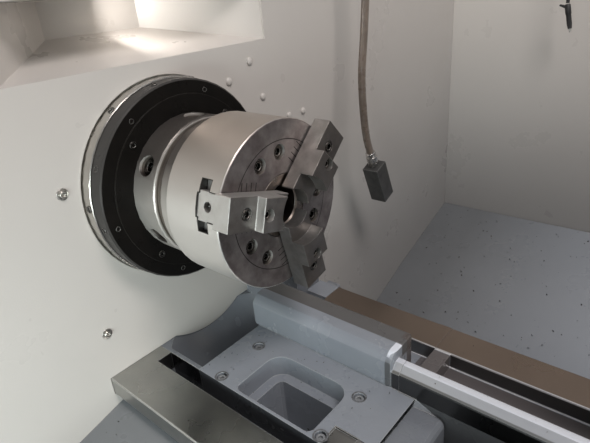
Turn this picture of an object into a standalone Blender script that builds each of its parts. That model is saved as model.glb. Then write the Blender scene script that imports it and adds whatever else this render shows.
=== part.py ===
"""A flat-bed turning lathe in its sheet-metal enclosure, with a three-jaw power chuck.

Every coordinate below is taken from the centre of the chuck's face: +X runs along the spindle
towards the tailstock, +Y away from the operator, +Z up. ORIGIN then stands the machine on its
floor, in the middle of its plan. Lengths are in metres, angles in degrees.
"""
import math

import bmesh
import bpy
from mathutils import Matrix, Vector

# Running clearance between pieces that touch or slide
GAP = 0.0003

# Machine plan and height
LEFT_END = -1.05
RIGHT_END = 1.45
FRONT_REACH = 0.62
FLOOR = -1.10
SHEET = 0.003

# Chuck
CHUCK_RADIUS = 0.105
CHUCK_DEPTH = 0.091
BACK_PLATE_RADIUS = 0.097
BACK_PLATE_DEPTH = 0.022
RIM_RADIUS = 0.092
RIM_DEPTH = 0.0125
BUSH_FLANGE_RADIUS = 0.0395
BUSH_FLANGE_DEPTH = 0.008
BUSH_SLEEVE_RADIUS = 0.034
BUSH_BORE = 0.025
BUSH_LENGTH = 0.045
PLUNGER_RADIUS = 0.050
PLUNGER_DEPTH = 0.0225
PLUNGER_STROKE = 0.008
CHUCK_SCREW_CIRCLE = 0.0664
CHUCK_SCREW_SPREAD = 15.0
CHUCK_SCREW_HEAD = 0.0095
CHUCK_SCREW_DEPTH = 0.011

# Jaws
JAW_ANGLES = (162.5, 42.5, -77.5)
JAW_HALF_WIDTH = 0.0194
JAW_OUTER_RADIUS = 0.1125
JAW_STEP_RADIUS = 0.0718
JAW_STEP_TOP = 0.0254
JAW_BLOCK_TOP = 0.0376
JAW_TIP_TOP = 0.020
JAW_BLOCK_ARC = 0.042
JAW_TIP_ARC = 0.024
JAW_BASE = 0.0018
JAW_BOLT_RADII = (0.064, 0.087)
JAW_BOLT_HEAD = 0.0073
JAW_BOLT_DEPTH = 0.012
TIP_CLEARANCE = 0.004
SLOT_NECK = 0.0165
SLOT_WING = 0.0294
SLOT_KEEL = 0.0135
SLOT_NECK_DEPTH = 0.0175
SLOT_WING_DEPTH = 0.033
SLOT_KEEL_DEPTH = 0.0357
SLOT_INNER_RADIUS = 0.044
MASTER_INNER_RADIUS = 0.047
MASTER_OUTER_RADIUS = 0.103
MASTER_WING_RADIUS = 0.093
FOOT_INNER_RADIUS = 0.0475
FOOT_OUTER_RADIUS = 0.0520
FOOT_HALF_WIDTH = 0.0085
JAW_TRAVEL = 0.0019
MASTER_HOLE_RADIUS = 0.006
MASTER_HOLE_X = -0.019

# Spindle, its bearings and the rings in front of the partition
NOSE_RADIUS = 0.097
NOSE_LENGTH = 0.0437
CAM_HOLE_RADIUS = 0.01385
CAM_HOLE_X = -0.1495
CAM_HOLE_FIRST = 27.3
CAM_HOLE_DEPTH = 0.015
COLLAR_RADIUS = 0.075
CAP_RADIUS = 0.1415
CAP_STEP_RADIUS = 0.122
CAP_THICKNESS = 0.023
RING_RADIUS = 0.1436
PARTITION_FACE = -0.212
FRONT_JOURNAL = 0.070
FRONT_BEARING = 0.105
FRONT_BEARING_WIDTH = 0.076
SPINDLE_BODY = 0.062
REAR_JOURNAL = 0.055
REAR_BEARING = 0.085
REAR_BEARING_WIDTH = 0.056
PULLEY_SEAT = 0.050
SPINDLE_BORE = 0.030
DRAW_TUBE_BORE = 0.026

# Headstock, belt drive and main motor
HEADSTOCK_FRONT = -0.216
HEADSTOCK_REAR = -0.63
HEADSTOCK_TOP = 0.150
PULLEY_X = -0.67
PULLEY_WIDTH = 0.060
SPINDLE_PULLEY_RADIUS = 0.110
MOTOR_PULLEY_RADIUS = 0.080
PULLEY_GROOVE = 0.007
PULLEY_GROOVES = 2
BELT_THICKNESS = 0.008
BELT_WIDTH = 0.050
CYLINDER_RADIUS = 0.085
CYLINDER_LENGTH = 0.1447
SPINDLE_TAIL = -0.735
MOTOR_Z = -0.78
MOTOR_RADIUS = 0.125
MOTOR_FRONT = -0.752
MOTOR_REAR = -1.03
MOTOR_SHELF = -0.94
MOTOR_SHAFT = 0.019
MOTOR_FINS = 12
FIN_DEPTH = 0.009

# Bed
BED_LEFT = HEADSTOCK_REAR
BED_RIGHT = 1.30
BED_BOTTOM = -0.56
WAY_TOP = -0.2545
WAY_DEPTH = 0.028
WAY_FOOT = WAY_TOP - WAY_DEPTH - 0.0175
FRONT_WAY_Y = -0.175
SLOT_FRONT = -0.111
SLOT_REAR = -0.0865
SLOT_LEFT = -0.186
SLOT_FLOOR = -0.325
INNER_WAY_REAR = -0.054
INNER_WAY_TOP = -0.257
FRONT_WALL_Y = -0.160
REAR_WALL_Y = 0.185
REAR_WAY_FRONT = 0.146
REAR_WAY_Y = 0.203
WALL_THICKNESS = 0.035
V_FRONT = 0.042
V_SHOULDER = -0.229
V_TOP = -0.2178
V_CREST_FRONT = 0.0533
V_CREST_REAR = 0.062
V_REAR = 0.080
TROUGH_FLOOR = -0.277
BEAM_BOTTOM = -0.345
RIB_THICKNESS = 0.025
RIB_PITCH = 0.150
RIB_FIRST = 0.33
RIB_TOP = -0.285
SCOOP_RADIUS = 0.128
SCOOP_Y = 0.012
SCOOP_Z = -0.146
SCOOP_SLOPE = 0.9
SCOOP_FRONT = -0.080
SHOULDER_TOP = -0.262
SHOULDER_RIGHT = 0.205

# Gap bridge
BRIDGE_LEFT = -0.119
BRIDGE_SEAM = 0.136
BRIDGE_FLOOR_RIGHT = 0.160
BRIDGE_BOTTOM = -0.375
BRIDGE_WAY_LEFT = 0.103
BRIDGE_REAR_WAY_LEFT = -0.076
RAIL_LEFT = -0.130
RAIL_RIGHT = 0.125
RAIL_FRONT = 0.040
RAIL_REAR = 0.100
RAIL_TOP = -0.2024
RAIL_CHAMFER = 0.0117
POCKET_LOW = (-0.048, -0.082)
POCKET_HIGH = (0.0845, 0.0075)
POCKET_LEDGE = 0.033
POCKET_FRONT_RADIUS = 0.010
POCKET_REAR_RADIUS = 0.024
POCKET_INSET = 0.015
BRIDGE_BOLTS = ((-0.083, 0.002), (0.0997, 0.003), (-0.081, -0.0765), (0.097, -0.0765))
BRIDGE_BOLT_RADIUS = 0.0075
BRIDGE_BOLT_DEPTH = 0.012

# Carriage
SADDLE_LEFT = 0.50
SADDLE_LENGTH = 0.32
SADDLE_TOP = -0.150
SADDLE_FRONT = -0.200
SADDLE_REAR = 0.245
APRON_BOTTOM = -0.290
SLIDE_MIDDLE = 0.66
DOVETAIL_BASE = 0.070
DOVETAIL_CREST = 0.085
DOVETAIL_HEIGHT = 0.022
SLIDE_HALF_WIDTH = 0.120
SLIDE_FRONT = -0.200
SLIDE_REAR = 0.200
SLIDE_TOP = -0.100
TURRET_Y = 0.160
TURRET_RADIUS = 0.115
TURRET_LEFT = 0.415
TURRET_WIDTH = 0.0645
TURRET_STATIONS = 8
HOUSING_LEFT = 0.480
HOUSING_RIGHT = 0.700
HOUSING_FRONT = 0.090
HOUSING_REAR = 0.270
HOUSING_TOP = 0.090
Z_SCREW_Y = 0.215
Z_SCREW_Z = -0.315
Z_SCREW_RADIUS = 0.014
Z_SCREW_LEFT = -0.12
SERVO_HALF = 0.045
X_SCREW_Z = -0.185
X_SCREW_RADIUS = 0.010
X_SERVO_HALF = 0.033

# Tailstock
TAIL_LEFT = 1.00
TAIL_RIGHT = 1.24
TAIL_FRONT = -0.098
TAIL_REAR = 0.200
TAIL_HEAD_RADIUS = 0.062
QUILL_RADIUS = 0.0275
QUILL_LEFT = 0.93
QUILL_RIGHT = 1.235
CENTRE_TIP = 0.86
WHEEL_RADIUS = 0.075
WHEEL_X = 1.262
WHEEL_RIM = 0.009
WHEEL_HUB = 0.016
WHEEL_FLANGE = 0.040
LEVER_X = 1.05
LEVER_Y = 0.130
LEVER_Z = -0.140

# Enclosure
WINDOW_FRONT = -0.198
WINDOW_REAR = 0.217
WINDOW_SILL = 0.1655
WINDOW_HEAD = 0.250
RECESS_BACK = -0.340
RECESS_FRONT_Y = -0.077
RECESS_REAR_Y = 0.074
RECESS_SILL = 0.200
RECESS_HEAD = 0.248
SKIN_BOTTOM = -1.08
PANEL_FRONT = -0.520
BACK_FACE = 0.924
BACK_BOTTOM = -0.70
DOOR_OPENING_LEFT = -0.15
DOOR_OPENING_RIGHT = 0.60
DOOR_OPENING_SILL = -0.30
DOOR_OPENING_HEAD = 0.58
DOOR_WIDTH = 0.79
DOOR_LEFT = -0.97
DOOR_BOTTOM = -0.357
DOOR_HEIGHT = 0.957
DOOR_HEADER = 0.050
TOP = DOOR_BOTTOM + DOOR_HEIGHT + DOOR_HEADER
DOOR_THICKNESS = 0.025
DOOR_FRAME = 0.11
CHANNEL_DEPTH = 0.035
CHANNEL_LEG = 0.018
RAIL_LINE_LEFT = -1.04
RAIL_LINE_RIGHT = 0.64
TRAY_SLOPE = 0.272
TRAY_SHEET = 0.0025
TRAY_INNER_Z = -0.302
REAR_TRAY_LIP = -0.3935
REAR_TRAY_BEND = (0.670, -0.4751)
REAR_TRAY_FOOT = (0.260, -0.6375)
REAR_TRAY_FLOOR = -0.6425
REAR_TRAY_UPSTAND = -0.50
CABINET_FRONT = 0.430
CABINET_DOOR = 0.020
TANK_LEFT = 0.55
TANK_RIGHT = 1.35
TANK_FRONT = 0.60
TANK_STANDOFF = 0.056
REAR_REACH = BACK_FACE + TANK_STANDOFF

# Control panel
PENDANT_LEFT = 0.76
PENDANT_RIGHT = 1.24
PENDANT_FRONT = -0.595
PENDANT_REAR = -0.535
PENDANT_BOTTOM = -0.12
PENDANT_TOP = 0.40
PENDANT_PIN = (1.256, -0.565)
PENDANT_PIN_RADIUS = 0.006
SLEEVE_RADIUS = 0.013
SLEEVE_BOTTOM = 0.0
SLEEVE_TOP = 0.28
SCREEN_LEFT = 0.80
SCREEN_RIGHT = 1.08
SCREEN_BOTTOM = 0.14
SCREEN_TOP = 0.36
SCREEN_RECESS = 0.004
BUTTON_X = 1.16
BUTTON_Z = 0.30
BUTTON_RADIUS = 0.020
BUTTON_TRAVEL = 0.006
DIAL_X = 1.15
DIAL_Z = 0.02
DIAL_RADIUS = 0.034

# Coolant hose with the block on its end, and the small air hose with its nozzle. Their routes go
# through points chosen by hand, from the gland down
HOSE_RADIUS = 0.007
HOSE_ROUTE = (
    (-0.2350, 0.3850, 0.4700),
    (-0.2000, 0.3850, 0.4700),
    (-0.1700, 0.3850, 0.4670),
    (-0.1420, 0.3858, 0.4330),
    (-0.1270, 0.3868, 0.3500),
    (-0.1260, 0.3866, 0.2500),
    (-0.1260, 0.3774, 0.1592),
    (-0.1260, 0.3683, 0.1003),
    (-0.1260, 0.3665, 0.0605),
    (-0.1260, 0.3700, 0.0100),
    (-0.1260, 0.3775, -0.0340),
    (-0.1260, 0.3885, -0.0641),
)
HOSE_LEAN = 22.0
FITTING_RADIUS = 0.0105
FITTING_LENGTH = 0.033
BLOCK_SIDE = 0.034
BLOCK_LENGTH = 0.082
AIR_HOSE_RADIUS = 0.0036
AIR_HOSE_ROUTE = (
    (0.0720, 0.9050, 0.4600),
    (0.0720, 0.8850, 0.4580),
    (0.0720, 0.8650, 0.4350),
    (0.0720, 0.8605, 0.3800),
    (0.0720, 0.8600, 0.3000),
    (0.0720, 0.8600, 0.2200),
    (0.0720, 0.8600, 0.1560),
)
NOZZLE_LEAN = (0.0110, 0.0, -0.0500)
NOZZLE_RADIUS = 0.006

TONES = {
    "cream": ((0.60, 0.57, 0.47), 0.45, 0.0),
    "casting": ((0.62, 0.60, 0.52), 0.40, 0.0),
    "black": ((0.02, 0.02, 0.022), 0.30, 0.0),
    "steel": ((0.55, 0.55, 0.54), 0.25, 1.0),
    "ground": ((0.48, 0.47, 0.45), 0.30, 1.0),
    "dark steel": ((0.18, 0.18, 0.18), 0.40, 1.0),
    "rubber": ((0.015, 0.015, 0.015), 0.60, 0.0),
    "glass": ((0.35, 0.40, 0.42), 0.05, 0.0),
    "red": ((0.60, 0.02, 0.02), 0.35, 0.0),
    "grey": ((0.30, 0.31, 0.32), 0.45, 0.0),
}

AXIS_HEIGHT = -FLOOR
ORIGIN = Vector((-(LEFT_END + RIGHT_END) / 2, (FRONT_REACH - REAR_REACH) / 2, AXIS_HEIGHT))
DIRECTIONS = {"X": Vector((1, 0, 0)), "Y": Vector((0, 1, 0)), "Z": Vector((0, 0, 1))}
PLANES = {
    "X": Matrix(((0, 0, 1), (1, 0, 0), (0, 1, 0))),
    "Y": Matrix(((1, 0, 0), (0, 0, -1), (0, 1, 0))),
    "Z": Matrix.Identity(3),
    "jaw": Matrix(((0, 1, 0), (1, 0, 0), (0, 0, -1))),
}

for old in list(bpy.data.objects):
    bpy.data.objects.remove(old)
parts = bpy.data.collections.new("cnc_turning_lathe")
tools = bpy.data.collections.new("cutters")
bpy.context.scene.collection.children.link(parts)
bpy.context.scene.collection.children.link(tools)


def part(obj, tone):
    """Add a finished sub-part, with a material of its own."""
    colour, roughness, metallic = TONES[tone]
    material = bpy.data.materials.new(obj.name)
    material.use_nodes = True
    shader = material.node_tree.nodes["Principled BSDF"]
    shader.inputs["Base Color"].default_value = (*colour, 1.0)
    shader.inputs["Roughness"].default_value = roughness
    shader.inputs["Metallic"].default_value = metallic
    obj.data.materials.append(material)
    parts.objects.link(obj)
    return obj


def tool(obj):
    """Add a shape that only cuts or extends another."""
    obj.hide_render = True
    obj.display_type = "WIRE"
    tools.objects.link(obj)
    return obj


def boolean(obj, operation, shapes):
    for shape in shapes:
        step = obj.modifiers.new(operation.lower(), "BOOLEAN")
        step.operation = operation
        step.object = tool(shape)
    return obj


def cut(obj, *shapes):
    return boolean(obj, "DIFFERENCE", shapes)


def extend(obj, *shapes):
    return boolean(obj, "UNION", shapes)


def bevel(obj, width, segments=1, angle=30.0):
    step = obj.modifiers.new("edges", "BEVEL")
    step.width = width
    step.segments = segments
    step.limit_method = "ANGLE"
    step.angle_limit = math.radians(angle)
    return obj


def mesh_object(name, bm, location):
    mesh = bpy.data.meshes.new(name)
    bm.to_mesh(mesh)
    bm.free()
    obj = bpy.data.objects.new(name, mesh)
    obj.location = ORIGIN + Vector(location)
    return obj


def smooth(obj):
    obj.data.shade_smooth()
    obj.data.set_sharp_from_angle(angle=math.radians(35))
    return obj


def aim(obj, direction):
    obj.rotation_mode = "QUATERNION"
    obj.rotation_quaternion = Vector(direction).to_track_quat("Z", "Y")
    return obj


def block(name, low, high, edge=0.0, segments=1):
    low = Vector(low)
    high = Vector(high)
    bm = bmesh.new()
    bmesh.ops.create_cube(bm, size=1.0)
    bmesh.ops.scale(bm, vec=high - low, verts=bm.verts)
    obj = mesh_object(name, bm, (low + high) / 2)
    return bevel(obj, edge, segments) if edge else obj


def rod(name, radius, start, end, sides=32, end_radius=None):
    """A round bar, or a cone where end_radius is given."""
    start = Vector(start)
    end = Vector(end)
    bm = bmesh.new()
    last = radius if end_radius is None else end_radius
    bmesh.ops.create_cone(bm, cap_ends=True, segments=sides, radius1=radius, radius2=last,
                          depth=(end - start).length)
    return smooth(aim(mesh_object(name, bm, (start + end) / 2), end - start))


def turned(name, profile, axis="X", centre=(0, 0, 0), sides=64):
    """Turn (radius, height) points, given from the top down the outer side, about an axis."""
    bm = bmesh.new()
    points = [bm.verts.new((radius, 0, height)) for radius, height in profile]
    for first, second in zip(points, points[1:]):
        bm.edges.new((first, second))
    if profile[0][0] > 0:
        bm.edges.new((points[-1], points[0]))
    obj = aim(mesh_object(name, bm, centre), DIRECTIONS[axis])
    step = obj.modifiers.new("turn", "SCREW")
    step.axis = "Z"
    step.steps = sides
    step.render_steps = sides
    step.use_merge_vertices = True
    step.merge_threshold = 0.00001
    step.use_smooth_shade = True
    return obj


def bore(radius, sides):
    """Corner radius of a faceted hole whose flats clear a round bar of this radius."""
    return (radius + GAP) / math.cos(math.pi / sides)


def ring(name, outer, inner, back, front, axis="X", centre=(0, 0, 0), sides=64, edge=0.001):
    profile = ((outer - edge, front), (outer, front - edge), (outer, back), (inner, back), (inner, front))
    return turned(name, profile, axis, centre, sides)


def plate(name, outline, axis, start, end, holes=()):
    """Push a flat outline from start to end along an axis; X takes (y, z), Y (x, z), Z (x, y)."""
    curve = bpy.data.curves.new(name, "CURVE")
    curve.dimensions = "2D"
    curve.fill_mode = "BOTH"
    curve.extrude = (end - start) / 2
    for loop in (outline, *holes):
        spline = curve.splines.new("POLY")
        spline.points.add(len(loop) - 1)
        for point, (u, v) in zip(spline.points, loop):
            point.co = (u, v, 0, 1)
        spline.use_cyclic_u = True
    flat = bpy.data.objects.new(name, curve)
    middle = (start + end) / 2
    shift = Vector((0, 0, -middle)) if axis in ("Y", "jaw") else Vector((0, 0, middle))
    flat.matrix_world = Matrix.Translation(ORIGIN + PLANES[axis] @ shift) @ PLANES[axis].to_4x4()
    return as_mesh(flat)


def as_mesh(flat):
    """Make a mesh of a curve and weld its caps."""
    name = flat.name
    bpy.context.scene.collection.objects.link(flat)
    bpy.context.view_layer.update()
    placed = flat.matrix_world.copy()
    evaluated = flat.evaluated_get(bpy.context.evaluated_depsgraph_get())
    mesh = bpy.data.meshes.new_from_object(evaluated)
    bpy.data.objects.remove(flat)
    bm = bmesh.new()
    bm.from_mesh(mesh)
    bmesh.ops.remove_doubles(bm, verts=bm.verts, dist=0.00001)
    bmesh.ops.recalc_face_normals(bm, faces=bm.faces)
    bm.to_mesh(mesh)
    bm.free()
    obj = bpy.data.objects.new(name, mesh)
    obj.matrix_world = placed
    return smooth(obj)


def tube(name, route, radius, resolution=2):
    curve = bpy.data.curves.new(name, "CURVE")
    curve.dimensions = "3D"
    curve.bevel_depth = radius
    curve.bevel_resolution = resolution
    curve.use_fill_caps = True
    spline = curve.splines.new("POLY")
    spline.points.add(len(route) - 1)
    for point, place in zip(spline.points, route):
        point.co = (*place, 1)
    obj = bpy.data.objects.new(name, curve)
    obj.location = ORIGIN
    return obj


def smooth_route(points, step):
    """Points a step apart on a smooth curve through the route's own points."""
    places = [Vector(p) for p in points]
    padded = [2 * places[0] - places[1], *places, 2 * places[-1] - places[-2]]
    route = []
    for i in range(1, len(padded) - 2):
        before, start, end, after = padded[i - 1:i + 3]
        pieces = max(1, round((end - start).length / step))
        for k in range(pieces):
            t = k / pieces
            route.append(0.5 * (2 * start + (end - before) * t
                                + (2 * before - 5 * start + 4 * end - after) * t ** 2
                                + (3 * start - before - 3 * end + after) * t ** 3))
    route.append(places[-1])
    return route


def folded(name, profile, start, end, thickness, side):
    """A sheet folded along X, from the (y, z) points of its section."""
    bm = bmesh.new()
    row = [bm.verts.new((start, y, z)) for y, z in profile]
    edges = [bm.edges.new(pair) for pair in zip(row, row[1:])]
    swept = bmesh.ops.extrude_edge_only(bm, edges=edges)
    moved = [v for v in swept["geom"] if isinstance(v, bmesh.types.BMVert)]
    bmesh.ops.translate(bm, verts=moved, vec=(end - start, 0, 0))
    return shell(mesh_object(name, bm, (0, 0, 0)), thickness, side)


def shell(obj, thickness, side):
    step = obj.modifiers.new("thickness", "SOLIDIFY")
    step.thickness = thickness
    step.offset = side
    step.use_even_offset = True
    return obj


def open_box(name, low, high, missing, thickness, side=-1.0):
    """A sheet box without the sides named in missing, such as +X."""
    bm = bmesh.new()
    bmesh.ops.create_cube(bm, size=1.0)
    low = Vector(low)
    high = Vector(high)
    bmesh.ops.scale(bm, vec=high - low, verts=bm.verts)
    normals = {"+X": (1, 0, 0), "-X": (-1, 0, 0), "+Y": (0, 1, 0), "-Y": (0, -1, 0),
               "+Z": (0, 0, 1), "-Z": (0, 0, -1)}
    bm.normal_update()
    gone = [f for f in bm.faces for m in missing if f.normal.dot(Vector(normals[m])) > 0.9]
    bmesh.ops.delete(bm, geom=gone, context="FACES")
    return shell(mesh_object(name, bm, (low + high) / 2), thickness, side)


def arc(centre, radius, start, end, steps):
    """Points on a circle between two angles."""
    angles = [math.radians(start + (end - start) * i / steps) for i in range(steps + 1)]
    return [(centre[0] + radius * math.cos(a), centre[1] + radius * math.sin(a)) for a in angles]


def rounded(low, high, front_radius, rear_radius, steps=5):
    """A rectangle whose front and rear corners have their own radii."""
    corners = (
        (low[0] + front_radius, low[1] + front_radius, front_radius, 180),
        (high[0] - front_radius, low[1] + front_radius, front_radius, 270),
        (high[0] - rear_radius, high[1] - rear_radius, rear_radius, 0),
        (low[0] + rear_radius, high[1] - rear_radius, rear_radius, 90),
    )
    return [p for x, y, radius, start in corners for p in arc((x, y), radius, start, start + 90, steps)]


def turn(obj, angle, centre=(0, 0, 0)):
    """Swing an object about a line along X through a centre."""
    pivot = ORIGIN + Vector(centre)
    placed = obj.matrix_basis.copy()
    swing = Matrix.Rotation(math.radians(angle), 4, "X")
    obj.matrix_world = Matrix.Translation(pivot) @ swing @ Matrix.Translation(-pivot) @ placed
    return obj


def polar(radius, angle):
    return radius * math.cos(math.radians(angle)), radius * math.sin(math.radians(angle))


def make_chuck():
    cavity_radius = PLUNGER_RADIUS + 0.006
    cavity_front = -BUSH_LENGTH - 0.001
    chamfer = 0.0015
    body = turned("chuck_body", (
        (CHUCK_RADIUS - chamfer, 0), (CHUCK_RADIUS, -chamfer),
        (CHUCK_RADIUS, -CHUCK_DEPTH + chamfer), (CHUCK_RADIUS - chamfer, -CHUCK_DEPTH),
        (cavity_radius, -CHUCK_DEPTH), (cavity_radius, cavity_front),
        (BUSH_SLEEVE_RADIUS + GAP, cavity_front),
        (BUSH_SLEEVE_RADIUS + GAP, -BUSH_FLANGE_DEPTH - GAP),
        (BUSH_FLANGE_RADIUS + GAP, -BUSH_FLANGE_DEPTH - GAP), (BUSH_FLANGE_RADIUS + GAP, 0)), sides=48)
    part(body, "steel")
    for angle in JAW_ANGLES:
        slot = plate("slot", slot_outline(0), "Y", SLOT_INNER_RADIUS, CHUCK_RADIUS + 0.01)
        wide = FOOT_HALF_WIDTH + 2 * GAP
        foot_slot = block("foot_slot", (cavity_front - 0.002, FOOT_INNER_RADIUS - JAW_TRAVEL - GAP, -wide),
                          (-SLOT_KEEL_DEPTH + 0.001, FOOT_OUTER_RADIUS + JAW_TRAVEL + GAP, wide))
        cut(body, turn(slot, angle), turn(foot_slot, angle))
        for side in (-1, 1):
            y, z = polar(CHUCK_SCREW_CIRCLE, angle + 60 + side * CHUCK_SCREW_SPREAD)
            cut(body, rod("screw_seat", CHUCK_SCREW_HEAD, (-CHUCK_SCREW_DEPTH, y, z), (0.01, y, z), 18))
    part(turned("chuck_bush", (
        (BUSH_FLANGE_RADIUS - 0.001, -0.0005), (BUSH_FLANGE_RADIUS, -0.0015),
        (BUSH_FLANGE_RADIUS, -BUSH_FLANGE_DEPTH), (BUSH_SLEEVE_RADIUS, -BUSH_FLANGE_DEPTH),
        (BUSH_SLEEVE_RADIUS, -BUSH_LENGTH), (BUSH_BORE, -BUSH_LENGTH),
        (BUSH_BORE, -0.0025), (BUSH_BORE + 0.002, -0.0005)), sides=32), "steel")
    back = -CHUCK_DEPTH - GAP
    step = back - BACK_PLATE_DEPTH + GAP
    part(turned("chuck_back_plate", (
        (BACK_PLATE_RADIUS, back), (BACK_PLATE_RADIUS, step + 0.001), (BACK_PLATE_RADIUS - 0.001, step),
        (RIM_RADIUS, step), (RIM_RADIUS, step - RIM_DEPTH),
        (SPINDLE_BORE + 0.001, step - RIM_DEPTH), (SPINDLE_BORE + 0.001, back)), sides=40), "steel")


def slot_outline(fit):
    """Section of the master jaws' cross-shaped slot; fit is taken off all round for the jaw."""
    top = 0.0015 if fit else 0.01
    half = ((top, SLOT_NECK - fit), (-SLOT_NECK_DEPTH - fit, SLOT_NECK - fit),
            (-SLOT_NECK_DEPTH - fit, SLOT_WING - fit), (-SLOT_WING_DEPTH + fit, SLOT_WING - fit),
            (-SLOT_WING_DEPTH + fit, SLOT_KEEL - fit), (-SLOT_KEEL_DEPTH + fit, SLOT_KEEL - fit))
    return [*half, *((x, -width) for x, width in reversed(half))]


def make_jaws():
    # The 60 degree sector limit keeps the three tips clear of each other
    chamfer = (0.5 * JAW_HALF_WIDTH + TIP_CLEARANCE) / math.cos(math.radians(30))
    side_view = ((0.010, JAW_BASE), (JAW_OUTER_RADIUS, JAW_BASE), (JAW_OUTER_RADIUS, JAW_STEP_TOP),
                 (JAW_STEP_RADIUS, JAW_STEP_TOP), (JAW_STEP_RADIUS, JAW_BLOCK_TOP),
                 (0.030, JAW_BLOCK_TOP), (0.030, JAW_TIP_TOP), (0.010, JAW_TIP_TOP))
    for number, angle in enumerate(JAW_ANGLES, start=1):
        top = plate(f"top_jaw_{number}", side_view, "jaw", -JAW_HALF_WIDTH, JAW_HALF_WIDTH)
        bevel(top, 0.0006)
        part(turn(top, angle), "steel")
        cut(top, rod("tip_arc", JAW_TIP_ARC, (-0.01, 0, 0), (0.06, 0, 0), 48),
            rod("block_arc", JAW_BLOCK_ARC, (JAW_TIP_TOP, 0, 0), (0.06, 0, 0), 64))
        for side in (-1, 1):
            near = JAW_HALF_WIDTH * 1.5
            wedge = plate("tip_side", ((0, 0), (chamfer * 1.6, side * near), (-0.02, side * near)),
                          "X", -0.01, 0.06)
            cut(top, turn(wedge, angle))
        for radius, level in zip(JAW_BOLT_RADII, (JAW_BLOCK_TOP, JAW_STEP_TOP)):
            y, z = polar(radius, angle)
            cut(top, rod("bolt_seat", JAW_BOLT_HEAD, (level - JAW_BOLT_DEPTH, y, z), (0.06, y, z), 24))
        master = plate(f"master_jaw_{number}", slot_outline(GAP), "Y", MASTER_INNER_RADIUS,
                       MASTER_OUTER_RADIUS)
        part(turn(master, angle), "steel")
        foot = block("foot", (-0.050, FOOT_INNER_RADIUS, -FOOT_HALF_WIDTH),
                     (-0.034, FOOT_OUTER_RADIUS, FOOT_HALF_WIDTH))
        extend(master, turn(foot, angle))
        for near, far in ((-SLOT_WING - 0.001, -SLOT_NECK - 0.0005), (SLOT_NECK + 0.0005, SLOT_WING + 0.001)):
            wing_end = block("wing_end", (-SLOT_WING_DEPTH - 0.001, MASTER_WING_RADIUS, near),
                             (-SLOT_NECK_DEPTH + 0.001, MASTER_OUTER_RADIUS + 0.001, far))
            cut(master, turn(wing_end, angle))
        hole = rod("end_hole", MASTER_HOLE_RADIUS, (MASTER_HOLE_X, 0.092, 0), (MASTER_HOLE_X, 0.12, 0), 20)
        cut(master, turn(hole, angle))


def make_spindle():
    nose = -CHUCK_DEPTH - BACK_PLATE_DEPTH - RIM_DEPTH - GAP - GAP
    shoulder = nose - NOSE_LENGTH
    cap_back = shoulder - GAP - CAP_THICKNESS
    front_seat = HEADSTOCK_FRONT - 0.005
    front_end = front_seat - FRONT_BEARING_WIDTH
    rear_start = HEADSTOCK_REAR + REAR_BEARING_WIDTH + 0.008
    spindle = turned("spindle", (
        (NOSE_RADIUS - 0.0015, nose), (NOSE_RADIUS, nose - 0.0015), (NOSE_RADIUS, shoulder),
        (COLLAR_RADIUS, shoulder), (COLLAR_RADIUS, front_seat + GAP),
        (FRONT_JOURNAL, front_seat + GAP), (FRONT_JOURNAL, front_end),
        (SPINDLE_BODY, front_end), (SPINDLE_BODY, rear_start), (REAR_JOURNAL, rear_start),
        (REAR_JOURNAL, HEADSTOCK_REAR), (PULLEY_SEAT, HEADSTOCK_REAR),
        (PULLEY_SEAT, SPINDLE_TAIL), (SPINDLE_BORE, SPINDLE_TAIL), (SPINDLE_BORE, nose)), sides=32)
    part(spindle, "steel")
    for k in range(6):
        angle = CAM_HOLE_FIRST + 60 * k
        inner = polar(NOSE_RADIUS - CAM_HOLE_DEPTH, angle)
        outer = polar(NOSE_RADIUS + 0.01, angle)
        cut(spindle, rod("cam_hole", CAM_HOLE_RADIUS, (CAM_HOLE_X, *inner), (CAM_HOLE_X, *outer), 14))
    cap_front = shoulder - GAP
    part(turned("front_cap", (
        (CAP_STEP_RADIUS, cap_front), (CAP_STEP_RADIUS, cap_front - 0.002),
        (CAP_RADIUS - 0.002, cap_front - 0.002), (CAP_RADIUS, cap_front - 0.004),
        (CAP_RADIUS, cap_back), (COLLAR_RADIUS + 0.002, cap_back), (COLLAR_RADIUS + 0.002, cap_front)),
        sides=48), "black")
    part(ring("base_ring", RING_RADIUS, COLLAR_RADIUS + 0.003, HEADSTOCK_FRONT + GAP, cap_back - GAP,
              sides=48), "steel")
    for name, width, front, inner, outer in (
            ("front_bearing", FRONT_BEARING_WIDTH, front_seat, FRONT_JOURNAL, FRONT_BEARING),
            ("rear_bearing", REAR_BEARING_WIDTH, rear_start - GAP, REAR_JOURNAL, REAR_BEARING)):
        part(ring(name, outer, bore(inner, 28), front - width + GAP, front, sides=28), "steel")
    draw_front = -CHUCK_DEPTH + PLUNGER_STROKE + 0.0005
    part(turned("draw_tube", (
        (PLUNGER_RADIUS, draw_front + PLUNGER_DEPTH), (PLUNGER_RADIUS, draw_front),
        (SPINDLE_BORE - GAP, draw_front), (SPINDLE_BORE - GAP, SPINDLE_TAIL - CYLINDER_LENGTH - 0.02),
        (DRAW_TUBE_BORE, SPINDLE_TAIL - CYLINDER_LENGTH - 0.02),
        (DRAW_TUBE_BORE, draw_front + PLUNGER_DEPTH)), sides=24), "steel")
    rear = SPINDLE_TAIL - GAP
    part(turned("chuck_cylinder", (
        (CYLINDER_RADIUS - 0.004, rear), (CYLINDER_RADIUS, rear - 0.004), (CYLINDER_RADIUS, rear - 0.075),
        (CYLINDER_RADIUS - 0.018, rear - 0.080), (CYLINDER_RADIUS - 0.018, rear - CYLINDER_LENGTH),
        (SPINDLE_BORE, rear - CYLINDER_LENGTH), (SPINDLE_BORE, rear)), sides=24), "dark steel")


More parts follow.
